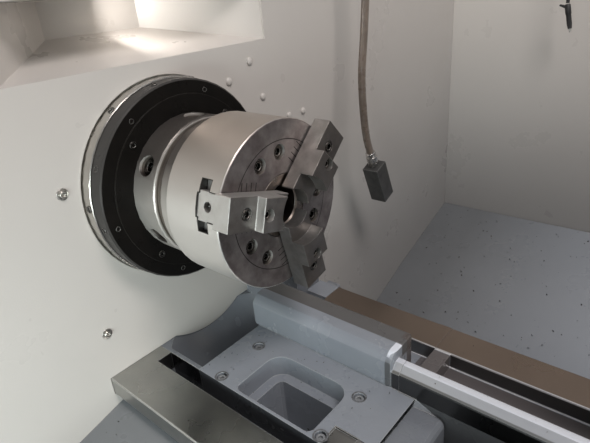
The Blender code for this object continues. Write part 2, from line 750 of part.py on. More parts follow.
def pulley_profile(radius, bore):
    front = PULLEY_X + PULLEY_WIDTH / 2
    groove = BELT_WIDTH / PULLEY_GROOVES
    first = PULLEY_X + BELT_WIDTH / 2
    points = [(radius, front)]
    for k in range(PULLEY_GROOVES):
        start = first - k * groove
        points += [(radius, start - 0.001), (radius - PULLEY_GROOVE, start - groove / 2),
                   (radius, start - groove + 0.001)]
    back = PULLEY_X - PULLEY_WIDTH / 2
    return [*points, (radius, back), (bore, back), (bore, front)]


def make_drive():
    part(turned("spindle_pulley", pulley_profile(SPINDLE_PULLEY_RADIUS, bore(PULLEY_SEAT, 24)), sides=24),
         "dark steel")
    pulley = turned("motor_pulley", pulley_profile(MOTOR_PULLEY_RADIUS, MOTOR_SHAFT - 0.001),
                    centre=(0, 0, MOTOR_Z), sides=20)
    shaft_end = MOTOR_FRONT - 0.05
    extend(pulley, rod("motor_shaft", MOTOR_SHAFT, (shaft_end, 0, MOTOR_Z),
                       (PULLEY_X + PULLEY_WIDTH / 2 + 0.004, 0, MOTOR_Z), 20))
    part(pulley, "dark steel")
    loops = []
    for thickness in (BELT_THICKNESS, 0):
        top = bore(SPINDLE_PULLEY_RADIUS, 28) + thickness
        bottom = bore(MOTOR_PULLEY_RADIUS, 20) + thickness
        lean = math.degrees(math.asin((top - bottom) / -MOTOR_Z))
        loops.append([*arc((0, 0), top, -lean, 180 + lean, 14),
                      *arc((0, MOTOR_Z), bottom, 180 + lean, 360 - lean, 10)])
    part(plate("drive_belt", loops[0], "X", PULLEY_X - BELT_WIDTH / 2, PULLEY_X + BELT_WIDTH / 2,
               holes=loops[1:]), "rubber")
    outline = []
    for k in range(MOTOR_FINS):
        for offset, radius in ((-0.32, MOTOR_RADIUS - FIN_DEPTH), (-0.2, MOTOR_RADIUS),
                               (0.2, MOTOR_RADIUS), (0.32, MOTOR_RADIUS - FIN_DEPTH)):
            y, z = polar(radius, 360 * (k + offset) / MOTOR_FINS)
            outline.append((y, z + MOTOR_Z))
    motor = plate("main_motor", outline, "X", MOTOR_REAR + 0.03, MOTOR_FRONT - 0.03)
    extend(motor,
           rod("rear_cover", MOTOR_RADIUS - 0.004, (MOTOR_REAR, 0, MOTOR_Z), (MOTOR_REAR + 0.031, 0, MOTOR_Z), 20),
           rod("front_cover", MOTOR_RADIUS - 0.002, (MOTOR_FRONT - 0.031, 0, MOTOR_Z),
               (MOTOR_FRONT, 0, MOTOR_Z), 20),
           block("feet", (MOTOR_REAR + 0.05, -0.11, MOTOR_SHELF + GAP),
                 (MOTOR_FRONT - 0.05, 0.11, MOTOR_Z - MOTOR_RADIUS + 0.035)),
           block("terminal_box", (MOTOR_REAR + 0.08, -0.165, MOTOR_Z - 0.04),
                 (MOTOR_REAR + 0.19, -0.10, MOTOR_Z + 0.05)))
    cut(motor, rod("shaft_hole", bore(MOTOR_SHAFT, 24), (shaft_end - GAP, 0, MOTOR_Z),
                   (MOTOR_FRONT + 0.01, 0, MOTOR_Z), 24))
    part(motor, "grey")


def make_headstock():
    outline = ((FRONT_WALL_Y, WAY_TOP + GAP), (REAR_WALL_Y, WAY_TOP + GAP), (REAR_WALL_Y, 0.05),
               (REAR_WALL_Y - 0.05, HEADSTOCK_TOP), (FRONT_WALL_Y + 0.05, HEADSTOCK_TOP),
               (FRONT_WALL_Y, 0.05))
    body = plate("headstock", outline, "X", HEADSTOCK_REAR, HEADSTOCK_FRONT)
    bevel(body, 0.006)
    front_pocket = HEADSTOCK_FRONT - 0.005 - FRONT_BEARING_WIDTH
    rear_pocket = HEADSTOCK_REAR + REAR_BEARING_WIDTH + 0.008
    cut(body, turned("bore", (
        (0, HEADSTOCK_FRONT + 0.01), (bore(FRONT_BEARING, 24), HEADSTOCK_FRONT + 0.01),
        (bore(FRONT_BEARING, 24), front_pocket), (SPINDLE_BODY + 0.018, front_pocket),
        (SPINDLE_BODY + 0.018, rear_pocket), (bore(REAR_BEARING, 24), rear_pocket),
        (bore(REAR_BEARING, 24), HEADSTOCK_REAR - 0.01), (0, HEADSTOCK_REAR - 0.01)), sides=24))
    part(body, "cream")


def way_section(low):
    """The rear half of the ways: V rail, trough and rear way, down to a low line."""
    return [(V_FRONT, low), (V_FRONT, V_SHOULDER), (V_CREST_FRONT, V_TOP), (V_CREST_REAR, V_TOP),
            (V_REAR, V_TOP - V_REAR + V_CREST_REAR), (V_REAR, TROUGH_FLOOR),
            (REAR_WAY_FRONT, TROUGH_FLOOR), (REAR_WAY_FRONT, WAY_TOP), (REAR_WAY_Y, WAY_TOP)]


def scoop():
    """The hollow under the chuck: a round trough whose far end lies lower."""
    start = PARTITION_FACE - SHEET - GAP - GAP
    end = BRIDGE_LEFT - GAP
    shape = rod("scoop", SCOOP_RADIUS, (start, SCOOP_Y, SCOOP_Z), (end, SCOOP_Y, SCOOP_Z), 48)
    for vertex in shape.data.vertices:
        if vertex.co.z > 0:
            vertex.co.y -= SCOOP_SLOPE * (end - start)
    return shape


def make_bed():
    front = plate("bed", (
        (FRONT_WAY_Y, WAY_TOP), (FRONT_WAY_Y, WAY_TOP - WAY_DEPTH),
        (FRONT_WALL_Y, WAY_FOOT), (FRONT_WALL_Y, BED_BOTTOM),
        (FRONT_WALL_Y + WALL_THICKNESS, BED_BOTTOM), (FRONT_WALL_Y + WALL_THICKNESS, BEAM_BOTTOM),
        (INNER_WAY_REAR, BEAM_BOTTOM), (INNER_WAY_REAR, INNER_WAY_TOP),
        (SLOT_FRONT + 0.012, INNER_WAY_TOP), (SLOT_FRONT + 0.012, WAY_TOP)), "X", BED_LEFT, BED_RIGHT)
    bevel(front, 0.0015)
    rear = plate("rear_beam", (
        *way_section(BEAM_BOTTOM), (REAR_WAY_Y, WAY_TOP - WAY_DEPTH),
        (REAR_WALL_Y, WAY_FOOT), (REAR_WALL_Y, BED_BOTTOM),
        (REAR_WALL_Y - WALL_THICKNESS, BED_BOTTOM), (REAR_WALL_Y - WALL_THICKNESS, BEAM_BOTTOM)),
        "X", BRIDGE_LEFT + 0.02, BED_RIGHT)
    bevel(rear, 0.0012)
    inner_front = FRONT_WALL_Y + WALL_THICKNESS - 0.001
    inner_rear = REAR_WALL_Y - WALL_THICKNESS + 0.001
    left_block = block("left_block", (BED_LEFT, FRONT_WALL_Y + 0.001, BED_BOTTOM),
                       (BRIDGE_FLOOR_RIGHT + GAP, REAR_WALL_Y, WAY_TOP))
    cut(left_block, block("hollow", (BED_LEFT + 0.03, FRONT_WALL_Y + 0.05, BED_BOTTOM - 0.01),
                          (BRIDGE_SEAM - 0.026, REAR_WALL_Y - 0.05, BRIDGE_BOTTOM - 0.045)))
    shoulder = block("shoulder", (BRIDGE_FLOOR_RIGHT + GAP - 0.03, INNER_WAY_REAR - 0.001, -0.50),
                     (SHOULDER_RIGHT, V_FRONT + 0.001, SHOULDER_TOP), 0.012, 4)
    ribs = []
    place = RIB_FIRST
    while place < BED_RIGHT - RIB_PITCH / 2:
        ribs.append(block("rib", (place, inner_front, BED_BOTTOM + 0.02),
                          (place + RIB_THICKNESS, inner_rear, RIB_TOP), 0.006))
        place += RIB_PITCH
    end_wall = block("end_wall", (BED_RIGHT - RIB_THICKNESS, inner_front, BED_BOTTOM),
                     (BED_RIGHT, inner_rear, TROUGH_FLOOR))
    raised = block("raised", (PARTITION_FACE + GAP, RAIL_REAR + 0.002, WAY_TOP - 0.05),
                   (BRIDGE_LEFT - GAP, REAR_WAY_Y, RAIL_TOP - 0.012), 0.004)
    extend(front, rear, left_block, shoulder, *ribs, end_wall, raised)
    for x in (Z_SCREW_LEFT - 0.015, BED_RIGHT - 0.04):
        bearing = block("screw_bearing", (x, REAR_WALL_Y - 0.005, Z_SCREW_Z - 0.035),
                        (x + 0.03, Z_SCREW_Y + 0.032, Z_SCREW_Z + 0.034), 0.003)
        cut(bearing, rod("screw_bore", bore(Z_SCREW_RADIUS, 20), (Z_SCREW_LEFT - GAP, Z_SCREW_Y, Z_SCREW_Z),
                         (BED_RIGHT + 0.01, Z_SCREW_Y, Z_SCREW_Z), 20))
        extend(front, bearing)
    scoop_shape = scoop()
    keep = block("scoop_limit", (-0.3, SCOOP_FRONT, -0.6), (0.0, 0.3, 0.0))
    step = scoop_shape.modifiers.new("limit", "BOOLEAN")
    step.operation = "INTERSECT"
    step.object = tool(keep)
    cut(front,
        block("gap", (BRIDGE_LEFT - GAP, SLOT_REAR - GAP, BRIDGE_BOTTOM - GAP),
              (BRIDGE_SEAM + GAP, REAR_WAY_Y + 0.02, 0.0)),
        block("gap_floor", (BRIDGE_SEAM - 0.01, INNER_WAY_REAR - GAP, BRIDGE_BOTTOM - GAP),
              (BRIDGE_FLOOR_RIGHT + GAP, V_FRONT - 0.002 + GAP, 0.0)),
        block("slot", (SLOT_LEFT, SLOT_FRONT, SLOT_FLOOR), (BED_RIGHT + 0.01, SLOT_REAR, 0.0)),
        scoop_shape)
    part(front, "casting")


def make_bridge():
    base = plate("gap_bridge", (
        (SLOT_REAR, BRIDGE_BOTTOM), (REAR_WALL_Y, BRIDGE_BOTTOM),
        (REAR_WALL_Y, WAY_FOOT), (REAR_WAY_Y, WAY_TOP - WAY_DEPTH),
        (REAR_WAY_Y, TROUGH_FLOOR), (V_REAR, TROUGH_FLOOR), (V_REAR, WAY_TOP), (SLOT_REAR, WAY_TOP)),
        "X", BRIDGE_LEFT, BRIDGE_SEAM)
    floor = block("floor", (BRIDGE_LEFT + 0.01, INNER_WAY_REAR, BRIDGE_BOTTOM),
                  (BRIDGE_FLOOR_RIGHT, RAIL_FRONT, WAY_TOP))
    rail = plate("rail", (
        (RAIL_FRONT, WAY_TOP - 0.002), (RAIL_FRONT, RAIL_TOP - RAIL_CHAMFER),
        (RAIL_FRONT + RAIL_CHAMFER, RAIL_TOP), (RAIL_REAR, RAIL_TOP), (RAIL_REAR, WAY_TOP - 0.002)),
        "X", RAIL_LEFT, RAIL_RIGHT)
    bevel(rail, 0.005, 2)
    rail_foot = block("rail_foot", (BRIDGE_LEFT, RAIL_FRONT + 0.006, TROUGH_FLOOR - 0.01),
                      (RAIL_RIGHT - 0.006, RAIL_REAR - 0.006, WAY_TOP + 0.006))
    v_block = plate("v_block", [*way_section(TROUGH_FLOOR - 0.01), (REAR_WAY_Y, TROUGH_FLOOR - 0.01)],
                    "X", RAIL_RIGHT - 0.008, BRIDGE_SEAM)
    rear_way = block("rear_way", (BRIDGE_REAR_WAY_LEFT, REAR_WAY_FRONT, TROUGH_FLOOR - 0.01),
                     (BRIDGE_SEAM - 0.001, REAR_WAY_Y, WAY_TOP), 0.001)
    set_back = block("set_back", (BRIDGE_LEFT, REAR_WAY_FRONT + 0.018, TROUGH_FLOOR - 0.01),
                     (BRIDGE_REAR_WAY_LEFT + 0.005, REAR_WAY_Y, WAY_TOP))
    extend(base, floor, rail_foot, rail, v_block, rear_way, set_back)
    cut(base,
        block("ground_strip", (BRIDGE_WAY_LEFT, SLOT_REAR - 0.01, INNER_WAY_TOP),
              (BRIDGE_SEAM + 0.01, INNER_WAY_REAR - GAP, 0.0)),
        plate("pocket", rounded(POCKET_LOW, POCKET_HIGH, POCKET_FRONT_RADIUS, POCKET_REAR_RADIUS), "Z",
              WAY_TOP - POCKET_LEDGE, 0.0),
        plate("pocket_hole", rounded([c + POCKET_INSET for c in POCKET_LOW],
                                     [c - POCKET_INSET for c in POCKET_HIGH], POCKET_FRONT_RADIUS,
                                     POCKET_FRONT_RADIUS, 3), "Z", BRIDGE_BOTTOM - 0.01, 0.0),
        *(rod("bolt_seat", BRIDGE_BOLT_RADIUS, (x, y, WAY_TOP - BRIDGE_BOLT_DEPTH), (x, y, 0.0), 14)
          for x, y in BRIDGE_BOLTS))
    part(base, "casting")


def make_pedestals():
    left = plate("pedestal_left", (
        (MOTOR_REAR - 0.01, FLOOR), (-0.24, FLOOR), (-0.24, BED_BOTTOM - GAP),
        (BED_LEFT, BED_BOTTOM - GAP), (BED_LEFT, MOTOR_SHELF), (MOTOR_REAR - 0.01, MOTOR_SHELF)), "Y",
        FRONT_WALL_Y - 0.005, REAR_WALL_Y)
    part(bevel(left, 0.006, 2), "cream")
    right = block("pedestal_right", (0.95, FRONT_WALL_Y - 0.005, FLOOR),
                  (BED_RIGHT, REAR_WALL_Y, BED_BOTTOM - GAP), 0.006, 2)
    part(right, "cream")


def make_carriage():
    right = SADDLE_LEFT + SADDLE_LENGTH
    v_rear_foot = V_TOP - V_REAR + V_CREST_REAR
    saddle = plate("saddle", (
        (SADDLE_FRONT, APRON_BOTTOM), (FRONT_WAY_Y - GAP - GAP, APRON_BOTTOM),
        (FRONT_WAY_Y - GAP - GAP, WAY_TOP + GAP), (SLOT_FRONT, WAY_TOP + GAP),
        (SLOT_FRONT, V_SHOULDER - 0.011), (V_FRONT - GAP, V_SHOULDER - 0.011),
        (V_FRONT - GAP, V_SHOULDER + GAP), (V_CREST_FRONT - GAP, V_TOP + GAP),
        (V_CREST_REAR + GAP, V_TOP + GAP), (V_REAR + GAP, v_rear_foot + GAP),
        (V_REAR + GAP, v_rear_foot - 0.014), (REAR_WAY_FRONT - 0.001, v_rear_foot - 0.014),
        (REAR_WAY_FRONT - 0.001, WAY_TOP + GAP), (REAR_WAY_Y + GAP + GAP, WAY_TOP + GAP),
        (REAR_WAY_Y + GAP + GAP, WAY_TOP - WAY_DEPTH), (SADDLE_REAR, WAY_TOP - WAY_DEPTH),
        (SADDLE_REAR, SADDLE_TOP), (SADDLE_FRONT, SADDLE_TOP)), "X", SADDLE_LEFT, right)
    sunk = 0.002
    root = DOVETAIL_BASE - sunk * (DOVETAIL_CREST - DOVETAIL_BASE) / DOVETAIL_HEIGHT
    dovetail = plate("dovetail", (
        (SLIDE_MIDDLE - root, SADDLE_TOP - sunk), (SLIDE_MIDDLE + root, SADDLE_TOP - sunk),
        (SLIDE_MIDDLE + DOVETAIL_CREST, SADDLE_TOP + DOVETAIL_HEIGHT),
        (SLIDE_MIDDLE - DOVETAIL_CREST, SADDLE_TOP + DOVETAIL_HEIGHT)), "Y", SADDLE_FRONT + 0.002,
        SADDLE_REAR - 0.002)
    nut = block("nut", (SLIDE_MIDDLE - 0.03, REAR_WAY_Y + 0.002, Z_SCREW_Z - 0.022),
                (SLIDE_MIDDLE + 0.03, SADDLE_REAR - 0.002, WAY_TOP), 0.003)
    extend(saddle, dovetail, nut)
    channel = X_SCREW_RADIUS + 0.011
    cut(saddle,
        rod("nut_bore", bore(Z_SCREW_RADIUS, 20), (SADDLE_LEFT - 0.1, Z_SCREW_Y, Z_SCREW_Z),
            (right + 0.1, Z_SCREW_Y, Z_SCREW_Z), 20),
        block("screw_channel", (SLIDE_MIDDLE - channel, SADDLE_FRONT + 0.02, X_SCREW_Z - channel),
              (SLIDE_MIDDLE + channel, SADDLE_REAR - 0.02, 0.0)),
        rod("screw_hole", bore(X_SCREW_RADIUS, 20), (SLIDE_MIDDLE, SADDLE_FRONT + 0.005, X_SCREW_Z),
            (SLIDE_MIDDLE, SADDLE_REAR + 0.01, X_SCREW_Z), 20))
    part(saddle, "cream")
    lift = GAP
    crest = SADDLE_TOP + DOVETAIL_HEIGHT + lift
    slope_fit = GAP * 1.6
    slide = plate("cross_slide", (
        (SLIDE_MIDDLE - SLIDE_HALF_WIDTH, SADDLE_TOP + lift),
        (SLIDE_MIDDLE - DOVETAIL_BASE - slope_fit, SADDLE_TOP + lift),
        (SLIDE_MIDDLE - DOVETAIL_CREST - slope_fit, crest), (SLIDE_MIDDLE + DOVETAIL_CREST + slope_fit, crest),
        (SLIDE_MIDDLE + DOVETAIL_BASE + slope_fit, SADDLE_TOP + lift),
        (SLIDE_MIDDLE + SLIDE_HALF_WIDTH, SADDLE_TOP + lift), (SLIDE_MIDDLE + SLIDE_HALF_WIDTH, SLIDE_TOP),
        (SLIDE_MIDDLE - SLIDE_HALF_WIDTH, SLIDE_TOP)), "Y", SLIDE_FRONT, SLIDE_REAR)
    extend(slide, block("slide_nut", (SLIDE_MIDDLE - channel + 0.003, -0.09, X_SCREW_Z - channel + 0.003),
                        (SLIDE_MIDDLE + channel - 0.003, -0.04, crest + 0.002)))
    cut(slide, rod("slide_nut_bore", bore(X_SCREW_RADIUS, 20), (SLIDE_MIDDLE, -0.12, X_SCREW_Z),
                   (SLIDE_MIDDLE, 0.0, X_SCREW_Z), 20))
    part(slide, "cream")
    part(rod("x_screw", X_SCREW_RADIUS, (SLIDE_MIDDLE, SADDLE_FRONT + 0.006, X_SCREW_Z),
             (SLIDE_MIDDLE, SADDLE_REAR, X_SCREW_Z), 20), "steel")
    part(block("x_motor", (SLIDE_MIDDLE - X_SERVO_HALF, SADDLE_REAR + GAP, X_SCREW_Z - X_SERVO_HALF),
               (SLIDE_MIDDLE + X_SERVO_HALF, SADDLE_REAR + 0.13, X_SCREW_Z + X_SERVO_HALF), 0.004, 2),
         "black")
    screw_end = BED_RIGHT + 0.001
    part(rod("z_screw", Z_SCREW_RADIUS, (Z_SCREW_LEFT, Z_SCREW_Y, Z_SCREW_Z),
             (screw_end, Z_SCREW_Y, Z_SCREW_Z), 20), "steel")
    part(block("z_motor", (screw_end + GAP, Z_SCREW_Y - SERVO_HALF, Z_SCREW_Z - SERVO_HALF),
               (screw_end + 0.125, Z_SCREW_Y + SERVO_HALF, Z_SCREW_Z + SERVO_HALF), 0.004, 2), "black")
    housing = block("turret_base", (HOUSING_LEFT, HOUSING_FRONT, SLIDE_TOP + GAP),
                    (HOUSING_RIGHT, HOUSING_REAR, HOUSING_TOP), 0.012, 3)
    part(housing, "cream")
    disc = plate("turret_disc", arc((TURRET_Y, 0), TURRET_RADIUS, 22.5, 337.5, TURRET_STATIONS - 1), "X",
                 TURRET_LEFT, TURRET_LEFT + TURRET_WIDTH)
    for k in range(TURRET_STATIONS):
        pocket = block("station", (TURRET_LEFT - 0.01, TURRET_Y + 0.082, -0.011),
                       (TURRET_LEFT + 0.028, TURRET_Y + 0.13, 0.011))
        cut(disc, turn(pocket, 360 * k / TURRET_STATIONS, (0, TURRET_Y, 0)))
    part(disc, "steel")


def make_tailstock():
    foot = V_TOP - V_REAR + V_CREST_REAR - 0.014
    body = plate("tailstock", (
        (TAIL_FRONT, INNER_WAY_TOP + GAP), (INNER_WAY_REAR + 0.002, INNER_WAY_TOP + GAP),
        (INNER_WAY_REAR + 0.002, V_SHOULDER - 0.011), (V_FRONT - GAP, V_SHOULDER - 0.011),
        (V_FRONT - GAP, V_SHOULDER + GAP), (V_CREST_FRONT - GAP, V_TOP + GAP),
        (V_CREST_REAR + GAP, V_TOP + GAP), (V_REAR + GAP, foot + 0.014 + GAP), (V_REAR + GAP, foot),
        (REAR_WAY_FRONT - 0.001, foot), (REAR_WAY_FRONT - 0.001, WAY_TOP + GAP), (TAIL_REAR, WAY_TOP + GAP),
        (TAIL_REAR, -0.190), (0.085, -0.150), *arc((0, 0), TAIL_HEAD_RADIUS, 0, 180, 16),
        (-0.070, -0.150), (TAIL_FRONT, -0.190)), "X", TAIL_LEFT, TAIL_RIGHT)
    cut(body, rod("quill_bore", bore(QUILL_RADIUS, 32), (TAIL_LEFT - 0.1, 0, 0), (TAIL_RIGHT + 0.1, 0, 0), 32))
    boss = rod("lever_boss", 0.020, (LEVER_X, LEVER_Y, LEVER_Z - 0.06), (LEVER_X, LEVER_Y, LEVER_Z - GAP))
    extend(body, boss)
    part(body, "cream")
    socket = 0.040
    quill = turned("quill", (
        (0, QUILL_RIGHT), (QUILL_RADIUS, QUILL_RIGHT), (QUILL_RADIUS, QUILL_LEFT + 0.003),
        (QUILL_RADIUS - 0.003, QUILL_LEFT), (bore(0.012, 32), QUILL_LEFT),
        (bore(0.012, 32), QUILL_LEFT + socket + GAP), (0, QUILL_LEFT + socket + GAP)), sides=32)
    part(quill, "steel")
    part(turned("live_centre", (
        (0, QUILL_LEFT + socket), (0.012, QUILL_LEFT + socket), (0.012, QUILL_LEFT - GAP),
        (0.024, QUILL_LEFT - GAP), (0.024, QUILL_LEFT - 0.036), (0.0165, QUILL_LEFT - 0.041),
        (0, CENTRE_TIP)), sides=28), "steel")
    wheel = turned("tailstock_handwheel", [
        (WHEEL_HUB, WHEEL_X + 0.016), (WHEEL_HUB, TAIL_RIGHT + 0.008), (WHEEL_FLANGE, TAIL_RIGHT + 0.008),
        (WHEEL_FLANGE, TAIL_RIGHT + GAP), (0.008, TAIL_RIGHT + GAP), (0.008, WHEEL_X + 0.016)], sides=20)
    rim = turned("wheel_rim", [(WHEEL_RADIUS - WHEEL_RIM + u, WHEEL_X + v) for u, v in
                               arc((0, 0), WHEEL_RIM, 90, -198, 4)], sides=24)
    extend(wheel, rim)
    for k in range(3):
        inner = polar(0.012, 120 * k)
        outer = polar(WHEEL_RADIUS - WHEEL_RIM, 120 * k)
        extend(wheel, rod("spoke", 0.006, (WHEEL_X, *inner), (WHEEL_X, *outer), 8))
    grip = polar(WHEEL_RADIUS - WHEEL_RIM, 60)
    extend(wheel, rod("grip", 0.009, (WHEEL_X, *grip), (WHEEL_X + 0.055, *grip), 12))
    part(wheel, "dark steel")
    lever = rod("clamp_lever", 0.014, (LEVER_X, LEVER_Y, LEVER_Z), (LEVER_X, LEVER_Y, LEVER_Z + 0.030), 24)
    extend(lever, rod("lever_arm", 0.006, (LEVER_X, LEVER_Y, LEVER_Z + 0.015),
                      (LEVER_X + 0.035, LEVER_Y, LEVER_Z + 0.12), 16))
    part(lever, "dark steel")


def make_partition():
    rear = PARTITION_FACE - SHEET
    left_dip = math.degrees(math.asin((WAY_TOP + GAP - SCOOP_Z) / (SCOOP_RADIUS - GAP)))
    dip = arc((SCOOP_Y, SCOOP_Z), SCOOP_RADIUS - GAP, 180 - left_dip, 360 + left_dip, 24)
    under = WAY_FOOT - 5 * GAP
    front_notch = [(FRONT_WALL_Y - 5 * GAP, BACK_BOTTOM), (FRONT_WALL_Y - 5 * GAP, under),
                   (FRONT_WAY_Y - GAP, WAY_TOP - WAY_DEPTH - GAP), (FRONT_WAY_Y - GAP, WAY_TOP + GAP)]
    rear_notch = [(REAR_WAY_Y + GAP, WAY_TOP + GAP), (REAR_WAY_Y + GAP, WAY_TOP - WAY_DEPTH - GAP),
                  (REAR_WALL_Y + 5 * GAP, under), (REAR_WALL_Y + 5 * GAP, BACK_BOTTOM)]
    inside = PANEL_FRONT + SHEET + GAP
    outline = [(inside, BACK_BOTTOM), *front_notch, *dip, *rear_notch,
               (BACK_FACE - GAP, BACK_BOTTOM), (BACK_FACE - GAP, TOP), (inside, TOP)]
    window = ((WINDOW_FRONT, WINDOW_SILL), (WINDOW_REAR, WINDOW_SILL), (WINDOW_REAR, WINDOW_HEAD),
              (WINDOW_FRONT, WINDOW_HEAD))
    hole = arc((0, 0), bore(RING_RADIUS + 0.001, 60), 0, 354, 59)
    gland_y, gland_z = HOSE_ROUTE[0][1:]
    hose_hole = arc((gland_y, gland_z), bore(HOSE_RADIUS, 24), 0, 345, 23)
    part(plate("partition", outline, "X", rear, PARTITION_FACE, holes=(window, hole, hose_hole)), "cream")
    bm = bmesh.new()
    mouth_x = rear - GAP
    loops = []
    flange = 0.012
    for x, front, back, sill, head in (
            (mouth_x, WINDOW_FRONT - flange, WINDOW_REAR + flange, WINDOW_SILL - flange, WINDOW_HEAD + flange),
            (mouth_x, WINDOW_FRONT, WINDOW_REAR, WINDOW_SILL, WINDOW_HEAD),
            (RECESS_BACK, RECESS_FRONT_Y, RECESS_REAR_Y, RECESS_SILL, RECESS_HEAD)):
        loops.append([bm.verts.new((x, y, z)) for y, z in
                      ((front, sill), (back, sill), (back, head), (front, head))])
    for outer, inner in zip(loops, loops[1:]):
        for k in range(4):
            nxt = (k + 1) % 4
            bm.faces.new((outer[k], outer[nxt], inner[nxt], inner[k]))
    bm.faces.new(loops[-1])
    bmesh.ops.recalc_face_normals(bm, faces=bm.faces)
    part(shell(mesh_object("recess_box", bm, (0, 0, 0)), 0.002, 1.0), "cream")


def make_enclosure():
    behind = PARTITION_FACE - SHEET - GAP
    cover_rear = CABINET_FRONT - GAP
    inside = PANEL_FRONT + SHEET + GAP
    part(open_box("headstock_cover", (LEFT_END, inside, SKIN_BOTTOM), (behind, cover_rear, TOP),
                  ("+X", "-Y", "-Z"), SHEET), "cream")
    right_skin = RIGHT_END - SHEET
    part(block("right_panel", (right_skin, inside, SKIN_BOTTOM), (RIGHT_END, BACK_FACE + SHEET, TOP),
               0.001), "cream")
    back = folded("back_panel", ((BACK_FACE + 0.028, TOP), (BACK_FACE, TOP), (BACK_FACE, BACK_BOTTOM),
                                 (BACK_FACE + 0.028, BACK_BOTTOM)), behind + SHEET, right_skin - GAP,
                  SHEET, 1.0)
    gland = Vector(AIR_HOSE_ROUTE[0])
    extend(back, rod("gland", AIR_HOSE_RADIUS + 0.004, (gland.x, BACK_FACE + 0.001, gland.z),
                     (gland.x, gland.y + 3 * GAP, gland.z), 16))
    part(back, "cream")
    opening = rounded((DOOR_OPENING_LEFT, DOOR_OPENING_SILL), (DOOR_OPENING_RIGHT, DOOR_OPENING_HEAD),
                      0.02, 0.02)
    outline = ((LEFT_END, SKIN_BOTTOM), (RIGHT_END, SKIN_BOTTOM), (RIGHT_END, TOP), (LEFT_END, TOP))
    panel = plate("front_panel", outline, "Y", PANEL_FRONT, PANEL_FRONT + SHEET, holes=(opening,))
    channel_front = PANEL_FRONT - CHANNEL_DEPTH
    web = 0.003
    for base, direction in ((DOOR_BOTTOM - GAP, 1), (DOOR_BOTTOM + DOOR_HEIGHT + GAP, -1)):
        outside = base - direction * web
        leg = base + direction * CHANNEL_LEG
        lip = channel_front + web
        extend(panel, plate("door_channel", (
            (PANEL_FRONT + 0.001, outside), (channel_front, outside), (channel_front, leg), (lip, leg),
            (lip, base), (PANEL_FRONT - web, base), (PANEL_FRONT - web, leg), (PANEL_FRONT + 0.001, leg)),
            "X", RAIL_LINE_LEFT, RAIL_LINE_RIGHT))
    pin_x, pin_y = PENDANT_PIN
    for low, high in ((SLEEVE_BOTTOM - 0.02, SLEEVE_BOTTOM - GAP), (SLEEVE_TOP + GAP, SLEEVE_TOP + 0.02)):
        extend(panel, block("lug", (pin_x - 0.011, pin_y - 0.010, low),
                            (pin_x + 0.014, PANEL_FRONT + 0.001, high)))
    extend(panel, rod("pin", PENDANT_PIN_RADIUS, (pin_x, pin_y, SLEEVE_BOTTOM - 0.01),
                      (pin_x, pin_y, SLEEVE_TOP + 0.01), 20))
    part(panel, "cream")
    tray_right = right_skin - GAP
    wall = FRONT_WALL_Y - 0.0015
    outer = PANEL_FRONT + SHEET + GAP
    lip = TRAY_INNER_Z + TRAY_SLOPE * (outer - wall)
    part(folded("front_tray", ((wall, TRAY_INNER_Z), (outer, lip), (outer, lip + 0.08)),
                PARTITION_FACE + GAP, tray_right, TRAY_SHEET, -1.0), "cream")
    part(folded("rear_tray", (
        (REAR_WALL_Y + GAP, REAR_TRAY_UPSTAND), (REAR_WALL_Y + GAP, REAR_TRAY_FLOOR),
        (REAR_TRAY_FOOT[0] - 0.01, REAR_TRAY_FLOOR), REAR_TRAY_FOOT, REAR_TRAY_BEND,
        (BACK_FACE - 0.0015, REAR_TRAY_LIP)), PARTITION_FACE + GAP, tray_right, TRAY_SHEET, 1.0),
        "cream")


def make_door():
    rear = PANEL_FRONT - 0.003 - 0.0025
    front = rear - DOOR_THICKNESS
    right = DOOR_LEFT + DOOR_WIDTH
    top = DOOR_BOTTOM + DOOR_HEIGHT
    low = (DOOR_LEFT + DOOR_FRAME, DOOR_BOTTOM + 2 * DOOR_FRAME)
    high = (right - DOOR_FRAME, top - DOOR_FRAME)
    outline = ((DOOR_LEFT, DOOR_BOTTOM), (right, DOOR_BOTTOM), (right, top), (DOOR_LEFT, top))
    door = plate("door", outline, "Y", front, rear, holes=(rounded(low, high, 0.03, 0.03),))
    part(door, "cream")
    pane_low = [c + GAP for c in low]
    pane_high = [c - GAP for c in high]
    middle = (front + rear) / 2
    part(plate("door_window", rounded(pane_low, pane_high, 0.03 - GAP, 0.03 - GAP), "Y", middle - 0.003,
               middle + 0.003), "glass")
    grip_x = right - 0.045
    reach = front - 0.038
    handle = tube("door_handle", (
        (grip_x, front - GAP, -0.06), (grip_x, reach + 0.012, -0.06), (grip_x, reach, -0.048),
        (grip_x, reach, 0.248), (grip_x, reach + 0.012, 0.26), (grip_x, front - GAP, 0.26)), 0.008)
    part(handle, "black")


